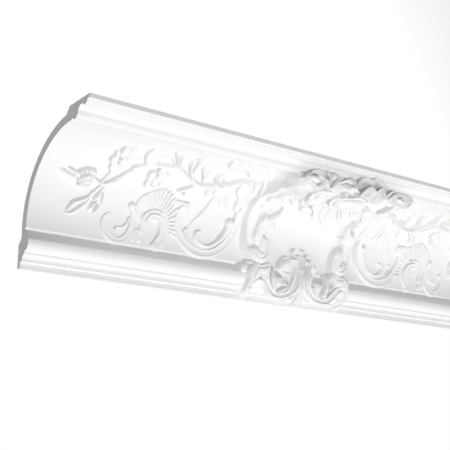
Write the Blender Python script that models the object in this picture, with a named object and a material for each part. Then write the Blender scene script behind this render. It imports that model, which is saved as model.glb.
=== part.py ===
"""Ceiling cornice moulding with rococo relief, one cast piece, cut square at one full pattern.

The section is extruded along X. The ornament is height over two smooth ground surfaces, the cove
and a bulging crest in front of it, drawn with strokes, domes and petals and joined to the moulding.
"""

import math

import bmesh
import bpy
import numpy as np

# Sizes below are in millimetres, heights are measured down from the ceiling line
MM = 0.001
LENGTH = 870.0
HALF = LENGTH / 2
TOTAL_HEIGHT = 177.0
PROJECTION = 172.5
# The origin is the middle of the wall face, this far below the ceiling
ORIGIN_DROP = 167.0

# The cove is a quarter ellipse, hollow towards the room
COVE_Y = -130.0
COVE_Z = -126.0
COVE_DEPTH = 111.0
COVE_RISE = 106.2
COVE_RADIUS = (COVE_DEPTH + COVE_RISE) / 2
COVE_LENGTH = COVE_RADIUS * math.pi / 2
WALL_THICKNESS = 12.0

# Relief grid over half a pattern, from the cove's top edge down over the lower members
COLUMNS = 220
ROWS = 118
RELIEF_TOP = -2.0
RELIEF_BOTTOM = 221.0
EDGE_SLOPE = 3.0
LEAF_SLOPE = 5.0
CREST_SLOPE = 5.0
CREST_STEP = 2.2
CREST_LEFT = 300.0
CREST_RIGHT = 570.0
CREST_FOOT = 142.0
CREST_FLOOR = -18.0
SAMPLE = 0.8
SPRAY_BOLDNESS = 1.9
SPRAY_SLENDERNESS = 0.88
SCROLL_FLATNESS = 0.72
MARGIN = 8.0
# Relief is kept where it stands this far over its floor, and is rooted this far under it
SHOWS = 0.3
ROOT_DEPTH = 1.5
COVE_FACES_KEPT = 3780
CREST_FACES_KEPT = 1500

WHITE = (0.86, 0.86, 0.855, 1.0)
ROUGHNESS = 0.55


def arc(centre, radii, start, end, count):
    """Points on an ellipse about centre, from one angle to another, in degrees."""
    angles = np.radians(np.linspace(start, end, count))
    return [(centre[0] + radii[0] * math.cos(a), centre[1] + radii[1] * math.sin(a)) for a in angles]


def section():
    """Outline of the moulding as (Y, Z), down the face from the ceiling and back up behind."""
    cove = (COVE_Y, COVE_Z)
    behind = (COVE_DEPTH + WALL_THICKNESS, COVE_RISE + WALL_THICKNESS - 0.5)
    fascia = [(-PROJECTION, 0), (-172.2, -5.2), (-169.3, -5.2), (-167.0, -5.4)]
    bead = arc((-160.4, -5.4), (6.2, 5.3), 180, 270, 5) + [(-157.5, -9.5), (-155.2, -6.9)]
    cyma = arc((-153.1, -14.0), (8.1, 6.8), 90, 0, 5) + arc((-138.5, -14.0), (6.5, 7.0), 180, 270, 5)[1:]
    quirk = [(-135.3, -21.0), (-133.2, -20.3), (-131.6, -18.1), (-130.8, -18.8)]
    hollow = arc(cove, (COVE_DEPTH, COVE_RISE), 90, 0, 29)
    recess = [(-19.0, -127.2), (-17.2, -127.6), (-16.6, -129.8), (-27.4, -142.4), (-27.8, -144.0)]
    ovolo = arc((-19.2, -147.0), (8.6, 10.2), 180, 270, 7)
    steps = [(-18.1, -158.3), (-18.0, -160.8), (-16.2, -161.7), (-13.7, -162.5), (-12.3, -164.2),
             (-11.8, -166.0), (-11.6, -169.2), (-6.9, -170.1), (-6.75, -TOTAL_HEIGHT)]
    wall = [(0, -TOTAL_HEIGHT), (0, -158.6), (-1.5, -157.0), (0, -155.4), (0, -145.5),
            (-2.4, -144.7), (-6.0, -141.2), (-7.8, -137.0)]
    back = arc(cove, behind, 0, 83, 17)
    ceiling = [(-118.0, -5.9), (-121.0, -2.5), (-123.7, 0), (-133.4, 0), (-135.0, -1.5), (-136.6, 0)]
    return fascia + bead + cyma + quirk + hollow + recess + ovolo + steps + wall + back + ceiling


def cove_ground(s):
    """Point (Y, Z) and outward normal at arc length s down the cove, then straight down below it."""
    angle = np.clip(math.pi / 2 - s / COVE_RADIUS, 0, None)
    y = COVE_Y + COVE_DEPTH * np.cos(angle)
    z = COVE_Z + COVE_RISE * np.sin(angle) - np.clip(s - COVE_LENGTH, 0, None)
    ny, nz = -np.cos(angle) / COVE_DEPTH, -np.sin(angle) / COVE_RISE
    size = np.hypot(ny, nz)
    y = np.where(s < 0, COVE_Y + s, y)
    return y, z, ny / size, nz / size


def cove_floor(s):
    """Height just under the moulding's face, where the relief has nothing to show."""
    return np.interp(s, (165, 172, 190, 198, 221), (-3.5, -5.5, -5.5, -14.0, -14.0))


CREST_FRONT = ((-169.0, -8.0), (-172.0, -31.0))
CREST_ROUND = 21.0
CREST_UNDERSIDE = math.radians(258.5)


def crest_ground(w):
    """Point and normal down the crest's section: its front, a round corner, then the underside."""
    (y0, z0), (y1, z1) = CREST_FRONT
    front = math.hypot(y1 - y0, z1 - z0)
    lean = math.pi - math.atan2(y0 - y1, z0 - z1)
    turn = CREST_UNDERSIDE - lean
    angle = lean + np.clip((w - front) / CREST_ROUND, 0, turn)
    ny, nz = np.cos(angle), np.sin(angle)
    beyond = np.clip(w - front - CREST_ROUND * turn, 0, None) + np.clip(w - front, None, 0)
    y = y1 + CREST_ROUND * (ny - math.cos(lean)) - nz * beyond
    z = z1 + CREST_ROUND * (nz - math.sin(lean)) + ny * beyond
    return y, z, ny, nz


# Where the crest's mass is rooted inside the moulding, as (w, Y, Z)
CREST_ROOT = ((0, -148, -3), (23, -140, -6), (56, -130, -11), (80, -118, -13), (105, -98, -18.5),
              (142, -66, -32))


def through(rows, count):
    """Smooth samples through the given rows of numbers, from the first to the last."""
    rows = np.asarray(rows, float)
    rows = rows.reshape(len(rows), -1)
    if len(rows) == 1:
        return np.repeat(rows, count, 0)
    ends = np.vstack([2 * rows[0] - rows[1], rows, 2 * rows[-1] - rows[-2]])
    at = np.linspace(0, len(rows) - 1, count)
    i = np.minimum(at.astype(int), len(rows) - 2)
    t = (at - i)[:, None]
    a, b, c, d = ends[i], ends[i + 1], ends[i + 2], ends[i + 3]
    return 0.5 * (2 * b + (c - a) * t + (2 * a - 5 * b + 4 * c - d) * t**2 + (3 * b - a - 3 * c + d) * t**3)


def swell(v):
    return np.sqrt(np.clip(1 - v * v, 0, 1))


def round_section(v, u, half):
    return 0.3 + 0.7 * swell(v)


def scroll_section(v, u, half):
    """A band with two raised rims and a hollow between them."""
    rim = np.exp(-((np.abs(v) - 0.8) ** 2) / 0.018)
    return 0.72 + 0.1 * v * v + 0.2 * rim - 0.35 * np.clip(np.abs(v) - 0.9, 0, None) / 0.1


def arm_section(v, u, half):
    """A broad hollow between a sharp outer ridge and a rolled inner edge, with a fillet by the ridge."""
    ridge = np.exp(-((np.abs(v) - 0.85) ** 2) / 0.012)
    fillet = np.exp(-((np.abs(v) - 0.5) ** 2) / 0.004)
    return 0.8 + 0.1 * v * v + 0.12 * ridge - 0.05 * fillet - 0.3 * np.clip(np.abs(v) - 0.9, 0, None) / 0.1


def leaf_section(v, u, half):
    """Two slopes down from a keel, with veins slanting off it."""
    vein = np.cos((u - 1.1 * np.abs(v) * half) * 2 * math.pi / 4.2)
    return 0.2 + 0.8 * (1 - np.abs(v)) ** 0.9 + 0.05 * vein * (1 - v * v)


def petal_section(v, u, half):
    """A cupped petal, its edges turned up."""
    return 0.74 + 0.26 * np.abs(v) ** 2.2 - 0.3 * np.clip(np.abs(v) - 0.88, 0, None) / 0.12


def flute_section(v, u, half):
    """A single convex flute."""
    return 0.35 + 0.65 * swell(v) ** 0.8


class Relief:
    """Height over a grid of x and distance down the ground surface, built up stroke by stroke."""

    def __init__(self, xs, ys, floor, slope, base=0.0):
        """base is the height that sections rise from."""
        self.x, self.y = np.meshgrid(xs, ys, indexing="ij")
        self.height = np.broadcast_to(floor, self.x.shape).astype(float)
        self.slope = slope
        self.slenderness = 1.0
        self.base = base

    def lay(self, inside, beyond, rise, profile):
        """Raises the cells to a profile, a share of the rise; beyond is how far they lie off its edge."""
        top = self.base + (rise - self.base) * profile - np.clip(beyond, 0, None) * self.slope
        self.height[inside] = np.maximum(self.height[inside], top)

    def window(self, points, reach):
        low, high = points.min(0) - reach, points.max(0) + reach
        return (self.x > low[0]) & (self.x < high[0]) & (self.y > low[1]) & (self.y < high[1])

    def stroke(self, path, width, height, cut=round_section, lobes=0.0, depth=0.0):
        """A band along a smooth path; half widths and heights are spread evenly along it.

        lobes is how many scallops each edge has and depth how deep they go, as a share of the half width.
        """
        rough = np.asarray(path, float)
        count = max(10, int(np.hypot(*np.diff(rough, axis=0).T).sum() / SAMPLE))
        line = through(path, count)
        half = np.clip(through(width, count)[:, 0] * self.slenderness, 0.4, None)
        rise = through(height, count)[:, 0]
        along = np.concatenate([[0], np.cumsum(np.hypot(*np.diff(line, axis=0).T))])
        ahead = np.gradient(line, axis=0)
        ahead /= np.maximum(np.hypot(*ahead.T), 1e-9)[:, None]
        inside = self.window(line, half.max() + MARGIN)
        spots = np.stack([self.x[inside], self.y[inside]], -1)
        gap = np.hypot(spots[:, 0, None] - line[None, :, 0], spots[:, 1, None] - line[None, :, 1])
        nearest = (gap - half[None]).argmin(1)
        offset = spots - line[nearest]
        away = np.hypot(*offset.T)
        side = np.sign(ahead[nearest, 0] * offset[:, 1] - ahead[nearest, 1] * offset[:, 0])
        edge = half[nearest]
        if lobes:
            phase = along[nearest] / along[-1] * lobes + np.where(side > 0, 0.0, 0.35)
            edge = edge * (1 - depth * (1 - np.abs(np.sin(math.pi * phase))) ** 1.5)
        v = side * np.clip(away / edge, 0, 1)
        self.lay(inside, away - edge, rise[nearest], cut(v, along[nearest], edge))

    def dome(self, centre, radii, height, rim=0.4, dish=0.0):
        """A rounded knob, bud or berry, or a cupped petal where dish is more than 0."""
        reach = max(radii) + MARGIN
        inside = self.window(np.array([centre], float), reach)
        r = np.hypot((self.x[inside] - centre[0]) / radii[0], (self.y[inside] - centre[1]) / radii[1])
        profile = rim + (1 - rim) * np.sqrt(np.clip(1 - r * r, 0, 1))
        if dish:
            rolled = (1 - rim) * np.clip((r - 0.8) / 0.2, 0, 1) ** 2
            profile = 1 - dish * (1 - np.clip(r / 0.75, 0, 1) ** 2) - rolled
        self.lay(inside, (r - 1) * min(radii), float(height), profile)

    def petal(self, outline, height, dish=0.0, reach=5.0):
        """A broad leaf or petal inside a closed outline, heights given at its points.

        dish sinks the middle below the rim, as a share of the thickness, and a negative dish swells it.
        """
        outline = np.asarray(outline, float)
        heights = np.broadcast_to(np.asarray(height, float), len(outline))
        rows = np.column_stack([outline, heights])
        rows = np.vstack([rows, rows[:1]])
        loop = through(rows, 6 * len(rows))[:-1]
        inside = self.window(loop[:, :2], MARGIN)
        spots = np.stack([self.x[inside], self.y[inside]], -1)
        gap = np.hypot(spots[:, 0, None] - loop[None, :, 0], spots[:, 1, None] - loop[None, :, 1])
        weight = 1 / (gap**2 + 1)
        rise = (weight * loop[None, :, 2]).sum(1) / weight.sum(1)
        following = np.roll(loop, -1, 0)
        above = loop[None, :, 1] > spots[:, 1, None]
        crossed = above != (following[None, :, 1] > spots[:, 1, None])
        run = np.where(loop[:, 1] == following[:, 1], 1, following[:, 1] - loop[:, 1])
        at = loop[:, 0] + (spots[:, 1, None] - loop[None, :, 1]) * (following[:, 0] - loop[:, 0]) / run
        within = (crossed & (spots[:, 0, None] < at)).sum(1) % 2 == 1
        distance = gap.min(1)
        profile = 1 - dish * (1 - np.exp(-((distance / reach) ** 2)))
        profile = np.where(within, profile - 0.25 * np.clip(1 - distance / 1.5, 0, 1) ** 2, 0.75)
        self.lay(inside, np.where(within, -distance, distance), rise, profile)

    def scale_heights(self, share):
        """Raises or lowers what has been carved so far."""
        self.height *= np.where(self.height > 0, share, 1)


def draw_spray(relief):
    """Flowering branch along the upper half of the cove."""
    relief.stroke([(27, 87.5), (34, 90.5), (45, 94.5), (56, 91.5)], [1, 4, 4, 2],
                  [2, 4, 4, 3.5], leaf_section)
    relief.stroke([(38, 83.5), (45, 86.5), (54, 89.5)], [1, 2.6, 1.6], [4.5])
    rows = (((55, 85.5), (72, 81.5)), ((57, 95.5), (74, 89.5)), ((59, 102.5), (73, 96.5)))
    for row, (start, end) in enumerate(rows):
        for i in range(4):
            x = start[0] + (end[0] - start[0]) * i / 3
            y = start[1] + (end[1] - start[1]) * i / 3 - 3 * math.sin(math.pi * i / 3)
            relief.dome((x, y), (3.4, 4.2), 6.5 - 0.3 * row, rim=0.2)
    relief.dome((65, 103.5), (3.2, 4), 6, rim=0.2)
    relief.dome((70, 101.5), (3.2, 4), 6, rim=0.2)
    relief.stroke([(75, 90.5), (83, 93.5), (92, 96.5)], [2, 1.5, 1.6], [4])
    relief.stroke([(88, 94.5), (91, 87.5), (95, 77.5), (101, 72.5)], [2, 2.1, 2.7, 3.5], [4])
    relief.stroke([(87, 96.5), (97, 93.5), (103, 87.5), (113, 76.5), (121, 66.5), (129, 59.5)],
                  [2, 2.5, 2.3, 2.3, 2.4, 2.5], [4.5])
    relief.stroke([(90, 98.5), (99, 95.5), (108, 88.5), (116, 78.5)], [1.8], [3.5])
    relief.stroke([(91, 97.5), (85, 105.5), (79, 113.5)], [1.7], [3.5])
    relief.stroke([(82, 112.5), (72, 121.5), (61, 127.5), (55, 134.5), (50, 144.5)],
                  [1.5, 3.2, 4.8, 3.6, 0.8], [3.5, 5, 5, 4, 2], leaf_section, lobes=4, depth=0.25)
    relief.stroke([(80, 116.5), (74, 127.5), (67, 135.5), (59, 142.5), (51, 145.5)],
                  [1.5, 3.7, 4.2, 3.3, 0.8], [3.5, 4.5, 4.5, 3.5, 2], leaf_section, lobes=4, depth=0.25)
    relief.stroke([(98, 96.5), (94, 103.5), (91, 110.5), (90, 118.5)], [1.8], [3.5])
    for path, widths in (([(91, 110.5), (88, 115.5), (86, 120.5)], [1.8, 3.9, 2.4]),
                         ([(91, 121.5), (86, 126.5), (83, 134.5)], [1.8, 4.2, 3.2]),
                         ([(94, 126.5), (92, 131.5), (90, 137.5)], [1.8, 3.2, 2.3]),
                         ([(96, 108.5), (97, 115.5), (98, 124.5)], [1.1, 2.3, 1])):
        relief.stroke(path, widths, [4, 5.5, 4.5], leaf_section)
    relief.stroke([(121, 62.5), (128, 57.5), (141, 52.5), (154, 48.5), (169, 47.5), (181, 46.5),
                  (194, 52.5), (207, 60.5), (218, 65.5), (231, 67.5), (247, 64.5), (262, 62.5),
                  (270, 56.5), (277, 49.5), (287, 43.5), (298, 43.5)],
                  [2.5, 3, 3.4, 3.4, 3.6, 3.5, 3.3, 3.3, 3.6, 3.6, 3.4, 4, 3.6, 3.8, 5, 4],
                  [4.5, 4.5, 4.5, 4.5, 4.5, 4.5, 5, 5, 5, 5, 5, 5, 5.5, 6, 7, 8])
    relief.petal([(126, 24.5), (125, 33.5), (127, 42.5), (132, 49.5), (139, 51.5), (143, 45.5),
                 (141, 34.5), (137, 22.5), (130, 19.5)],
                 [2.5, 3.5, 4.5, 6, 6.5, 6, 4.5, 3, 2], dish=-0.2, reach=3.0)
    relief.petal([(135, 21.5), (139, 34.5), (142, 46.5), (147, 38.5), (148, 28.5), (145, 20.5),
                 (140, 17.5)], [3, 4.5, 6.5, 5, 3.5, 2.5, 2], dish=-0.2, reach=3.0)
    for path, widths in (([(175, 41.5), (166, 35.5), (159, 30.5), (156, 32.5)], [1.2, 1.5, 4.4, 3.9]),
                         ([(180, 42.5), (173, 34.5), (165, 23.5), (161, 16.5)], [1.1, 1.6, 3.1, 2.3]),
                         ([(181, 42.5), (177, 32.5), (175, 23.5), (177, 17.5)], [1.1, 2.7, 4.4, 1.7])):
        relief.stroke(path, widths, [6.5, 6, 4.5, 2.5], leaf_section)
    relief.stroke([(229, 66.5), (218, 62.5), (209, 54.5), (203, 46.5)], [2], [4.5])
    relief.stroke([(206, 53.5), (198, 41.5), (195, 29.5), (197, 23.5)], [1.4, 3.2, 3.7, 1.4],
                  [7, 6.5, 4.5, 2.5], leaf_section)
    relief.stroke([(205, 46.5), (201, 30.5), (201, 18.5), (205, 11.5)], [2, 3.8, 4.7, 1.4],
                  [7, 7, 5, 2.5], leaf_section)
    relief.stroke([(231, 62.5), (227, 55.5), (224, 49.5)], [1.6], [4.5])
    relief.stroke([(223, 47.5), (219, 36.5), (222, 27.5)], [3, 5.5, 3], [7, 5, 2.5], leaf_section)
    relief.stroke([(224, 48.5), (226, 36.5), (232, 24.5)], [3.5, 7, 3], [8, 6.5, 3], leaf_section)
    relief.stroke([(260, 61.5), (249, 54.5), (248, 45.5), (253, 37.5)], [3.7, 4.2, 4.3, 1.1],
                  [7, 7, 5, 2.5], leaf_section)
    relief.stroke([(270, 58.5), (262, 53.5), (257, 49.5)], [2.9, 2.4, 1.1], [5.5, 6, 5])
    relief.stroke([(252, 66.5), (247, 73.5), (247, 83.5)], [6, 4.6, 1.1], [5, 5, 3.5], leaf_section)
    relief.stroke([(260, 65.5), (258, 70.5), (257, 77.5)], [4, 2.8, 1], [5, 4.5, 3.5])
    relief.stroke([(224, 69.5), (213, 77.5), (204, 83.5)], [3.6, 3, 3.4], [4.5])
    relief.stroke([(219, 75.5), (214, 81.5), (213, 87.5)], [2], [4.5, 4.5, 5])


def draw_roses(relief):
    """Two open roses of cupped petals, each petal higher on its left side than on its right."""
    first = (((95.1, 37.5), (5.5, 10), 7, 4), ((104.6, 37.5), (5.5, 10), 6.5, 4),
             ((88.6, 45), (3.5, 5), 6, 4), ((89.1, 56), (5.5, 6.5), 6.5, 4),
             ((109.1, 53.5), (6, 6.5), 6, 3.5), ((95.1, 67.5), (7, 8), 6, 4), ((105.6, 63), (6, 6), 6.5, 3.5),
             ((99.6, 54), (6, 7.5), 9.5, 6.5), ((105.6, 41), (3.5, 5), 8, 5))
    second = (((162.6, 55.5), (7, 8.5), 7, 4), ((151.6, 67.5), (5.5, 8), 6.5, 4.5),
              ((151.6, 81.5), (3.5, 7), 6, 4), ((170.6, 66.5), (7, 7.5), 6.5, 4),
              ((161.6, 76.5), (7, 9), 8, 5), ((168.1, 76.5), (3, 5), 8.5, 6), ((162.6, 64.5), (4, 4), 8, 6))
    turns = np.radians(np.arange(0, 360, 30))
    for centre, radii, left, right in first + second:
        ring = np.column_stack([centre[0] + radii[0] * np.cos(turns), centre[1] + radii[1] * np.sin(turns)])
        relief.petal(ring, right + (left - right) * (1 - np.cos(turns) + np.sin(turns)) / 3, dish=0.3,
                     reach=3.0)


def draw_broken_branch(relief):
    """Acanthus that leaves the frame, with the cut twig and the hanging leaves below it."""
    for start, middle, tip in (((316, 69), (308, 54), (302, 40)), ((318, 67), (314, 53), (309, 39)),
                               ((319, 66), (319, 55), (316, 43))):
        relief.stroke([start, middle, tip], [2, 2.7, 3], [11, 10, 8])
    relief.stroke([(299, 43), (298, 48), (304, 60)], [4, 3.7, 3.7], [8, 9, 9])
    relief.stroke([(296, 50), (293, 57), (296, 69)], [5, 4.6, 3], [8, 9, 7], petal_section)
    relief.stroke([(301, 62), (301, 70), (305, 80)], [4.4, 4.6, 3], [8, 9, 7], petal_section)
    relief.stroke([(302, 54), (310, 70), (316, 85), (319, 100)], [4, 5.4, 6, 3.6],
                  [9, 10, 10, 9], leaf_section)
    relief.stroke([(307, 77), (305, 85), (306, 94)], [5, 5.5, 4], [8, 9, 8])
    relief.stroke([(315, 81), (316, 91), (316, 97)], [5.4, 4.8, 3.7], [10, 10, 9])
    relief.stroke([(269, 69), (264, 87), (259, 102), (251, 117)], [3.9, 4.3, 3.9, 3.2], [6, 5.5, 5.5, 5])
    relief.stroke([(251, 117), (244, 123), (240, 132)], [2, 1.3, 1], [4, 3.5, 3])
    relief.stroke([(275, 61), (265, 70), (264, 82)], [3.3, 6.6, 3.4], [6, 8, 5], leaf_section)
    relief.stroke([(284, 55), (280, 66), (281, 78), (285, 90), (292, 98)], [3.5, 4.6, 3.7, 2.8, 1.8],
                  [7, 7, 7, 6, 4], leaf_section)
    relief.stroke([(275, 64), (273, 76), (275, 86), (280, 95)], [2.7, 2.9, 2.6, 1.6], [6.5, 6.5, 6, 4.5])


def draw_acanthus(relief):
    """Broad leaf that springs from the frame and curls forward over the cove's top."""
    relief.petal([(243, 4), (242, 12), (245, 18), (250, 22), (258, 22), (266, 20), (274, 16),
                 (280, 20), (282, 25), (289, 25), (300, 22), (307, 23), (313, 29), (318, 38),
                 (323, 50), (326, 62), (327, 50), (323, 36), (317, 23), (309, 12), (299, 2), (286, -5),
                 (270, -9), (256, -6),
                 (249, 0)], [3, 4, 6, 8, 8.5, 8, 7, 8.5, 10, 10, 10, 10, 10, 10, 10, 9, 8, 7, 5.5, 4, 3,
                 2, 1.5, 1.5, 2], dish=-0.25, reach=4.0)


def draw_scrolls(relief):
    """The small scroll on the left and the big scroll that rises into the frame."""
    relief.stroke([(115, 138.5), (111, 136.5), (107, 142.5), (107, 152.5), (112, 161.5), (120, 167.5),
                  (130, 169.5), (141, 163.5), (147, 153.5), (150, 142.5), (149, 130.5), (145, 123.5)],
                  [2.3, 2.8, 3.6, 4.2, 4.6, 4.7, 4.4, 4.5, 4.7, 4.9, 4.5, 3.5],
                  [4.5, 5, 5, 5, 5, 5, 5.5, 6, 6.5], scroll_section)
    relief.dome((143, 119.5), (5, 5.8), 7.5)
    relief.stroke([(124, 155.5), (126, 151.5), (134, 150.5), (140, 144.5), (143, 135.5)], [1.4],
                  [6, 6, 6, 6.5])
    relief.stroke([(156, 149.5), (153, 156.5), (153, 164.5)], [1.5, 2.6, 2.9], [4.5, 5, 4.5])
    relief.stroke([(159, 150.5), (161, 157.5), (163, 164.5)], [1.6, 3.1, 3.5], [4.5, 5, 4.5])
    relief.stroke([(202, 103.5), (211, 100.5), (221, 100.5)], [2.4, 3, 2], [4.5, 5, 5])
    relief.dome((224, 107.5), (7, 8), 8)
    relief.stroke([(225, 103.5), (219, 112.5), (218, 125.5), (221, 138.5), (229, 151.5), (240, 161.5),
                  (255, 167.5), (272, 167.5), (289, 160.5), (303, 146.5), (311, 129.5), (314, 111.5),
                  (312, 95.5)], [5.6, 5, 4.8, 4.8, 5.6, 6, 6.4, 6.1, 6.1, 6.1, 5.8, 5.5, 5],
                  [7, 6.5, 6.5, 6.5, 7, 7.5, 8, 8.5, 9, 9.5, 10, 10.5, 11], scroll_section)
    relief.stroke([(259, 135.5), (252, 139.5), (253, 148.5), (260, 154.5), (271, 156.5), (282, 152.5),
                  (293, 142.5), (301, 129.5), (304, 118.5)],
                  [1.9, 2.8, 3.2, 2.9, 2.7, 3, 3.5, 4.4, 4.6], [7, 7.5, 8, 8.5, 9, 9.5, 10, 10.5, 10.5])
    relief.dome((303, 116.5), (6, 7), 11)
    relief.stroke([(233, 139.5), (236, 135.5)], [2.5, 2.4], [6])
    relief.stroke([(233, 140.5), (237, 146.5), (241, 153.5)], [1.9, 1.5, 1.7], [6])


def draw_shell_frill(relief):
    """Rocaille frill: fine flutes between a rim arch and a scalloped edge, over an inner scroll."""
    inner = through([(160.5, 140.5), (159.5, 129.5), (164.5, 121.5), (174.5, 116.5), (186.5, 115.5),
                     (198.5, 120.5), (206.5, 131.5), (210.5, 146.5)], 23)
    outer = through([(152.5, 124.5), (150.5, 114.5), (154.5, 104.5), (164.5, 95.5), (178.5, 87.5),
                     (196.5, 91.5), (210.5, 107.5), (219.5, 132.5), (217.5, 150.5)], 23)
    for start, end in zip(inner, outer):
        middle = 0.5 * (start + end)
        relief.stroke([start, middle, end], [1.5, 1.9, 2.2], [4.2, 5.2, 5], flute_section)
    relief.stroke([(163.5, 153.5), (162.5, 142.5), (163.5, 131.5), (170.5, 122.5), (180.5, 118.5),
                  (191.5, 121.5)], [2.5, 2.3, 2.2, 2.2, 2.1, 1.9], [6.5])
    relief.stroke([(174.5, 142.5), (172.5, 135.5), (176.5, 128.5), (184.5, 127.5), (192.5, 132.5),
                  (196.5, 141.5), (196.5, 153.5), (191.5, 162.5), (188.5, 168.5)],
                  [2.2, 3.3, 4, 4.4, 5, 5.7, 5.9, 6, 5],
                  [5.5, 6.5, 7, 7.5, 8, 8, 7.5, 7, 6.5], scroll_section)
    relief.stroke([(185.5, 167.5), (190.5, 170.5)], [5, 4.6], [6])


def draw_frame(relief):
    """Left arm of the cartouche, and what carries the foot and the palmette."""
    relief.stroke([(341, 27), (340, 39), (337, 52), (335, 66), (335, 84), (337, 105), (340, 128),
                  (345, 148), (354, 163)], [8, 9, 9.5, 10, 10, 10, 10, 10, 9],
                  [20, 18, 14, 11, 9, 9, 12, 15, 18], arm_section)
    relief.dome((341, 76), (4, 4.5), 13)
    relief.stroke([(344, 172), (356, 176), (367, 171)], [6, 7, 4], [17, 18, 17])
    relief.dome((335, 180), (6.5, 8), 14)
    relief.dome((339, 185), (3.5, 4), 18)
    relief.stroke([(435, 160), (435, 190), (435, 214)], [8, 9, 7], [10, 13, 4])


def draw_volute(relief):
    """Swelling cup at the arm's foot."""
    relief.petal([(338, 146), (341, 160), (348, 169), (359, 172), (369, 168), (373, 156), (372, 140),
                 (368, 128), (360, 122), (353, 123), (350, 132), (346, 142)],
                 [14, 16, 18, 19, 19, 19, 18.5, 18, 17, 16, 15, 14], dish=-0.45, reach=4.5)


def draw_free_leaves(relief):
    """Leaf that springs from the volute, and the knobs and leaves along the arm's inner edge."""
    relief.petal([(353, 144), (346, 137), (342, 128), (342, 113), (342, 97), (346, 88), (348, 84),
                 (353, 87), (360, 81), (365, 73), (366, 63), (370, 76), (367, 87), (367, 95),
                 (372, 102), (367, 107), (360, 109), (356, 117), (355, 128), (356, 138)],
                 [16, 17, 18, 19, 20, 20, 20, 20, 21, 22, 23, 22, 21, 20, 19, 19, 19, 19, 18, 17],
                 dish=-0.6, reach=3.0)
    relief.dome((340, 53), (5.5, 6.5), 21)
    relief.stroke([(344, 49), (349, 45), (350, 36)], [5, 6, 5], [21, 22, 23])
    relief.dome((353, 36), (5.5, 9), 24.5)
    relief.stroke([(354, 24), (365, 36), (374, 48)], [6, 5.3, 2.5], [24.5, 24.5, 23.5], leaf_section)


def draw_foot(relief):
    """The frame's foot, a leg and an arch that bridge the recess and end on the steps."""
    relief.petal([(340, 179), (346, 173), (358, 175), (371, 169), (377, 177), (373, 186), (374, 196),
                 (365, 188), (354, 189), (344, 196), (341, 205), (344, 212), (349, 218), (345, 220),
                 (339, 214), (339, 209), (340, 202), (340, 194), (338, 187)],
                 [19, 21, 22, 22, 20, 21, 20, 22, 22, 20, 15, 8, -4, -4, 2, 8, 15, 20, 19], dish=-0.35,
                 reach=3.5)
    relief.stroke([(344, 208), (345, 201), (350, 195), (358, 194), (367, 199), (374, 207), (383, 214),
                  (395, 215), (408, 212), (417, 204), (422, 193), (422, 181), (417, 171)],
                  [3, 3.5, 4, 4.5, 5, 5, 4.6, 4.2, 4.2, 4.4, 4.4, 4, 3.4],
                  [12, 18, 22, 23, 22, 19, 17, 16.5, 17, 18.5, 20, 20, 19], scroll_section)
    relief.stroke([(385, 204), (382, 192), (382, 182), (384, 173)], [5, 3.8, 3, 1.2], [17, 20, 19, 15])


def draw_palmette(relief):
    """Half of the shell at the foot, which the mirror completes."""
    relief.petal([(434, 147), (428, 149), (424, 152), (416, 152), (408, 152), (402, 158), (398, 167),
                 (399, 174), (405, 178), (409, 182), (412, 189), (412, 195), (408, 199), (403, 203),
                 (400, 207), (406, 210), (413, 208), (418, 213), (414, 216), (414, 219), (421, 222),
                 (430, 226), (440, 224), (448, 222), (438, 202), (435, 173)],
                 [20, 19, 19, 18.5, 17.5, 16, 15, 15, 16, 17, 17, 16, 15, 14, 13, 13, 14, 12, 10, 8, 6,
                 4, 4, 4, 18, 23], dish=-0.15, reach=3.0)
    relief.dome((408, 166), (6.5, 9), 20, rim=0.3)
    for path in ([(414, 160), (419, 172), (420, 186), (414, 199), (403, 206)],
                 [(419, 157), (425, 173), (426, 190), (420, 203), (408, 210)],
                 [(425, 154), (430, 173), (431, 190), (426, 205), (415, 214)]):
        relief.stroke(path, [1.2, 1.7, 2, 1.8, 1.4], [20, 22, 22, 18, 13])
    relief.stroke([(414, 185), (415, 192), (410, 197), (406, 195), (407, 191)], [1.4], [15])
    relief.stroke([(430, 150), (424, 148), (421, 143), (423, 138), (428, 138)], [1.3], [17, 16, 15])


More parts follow.
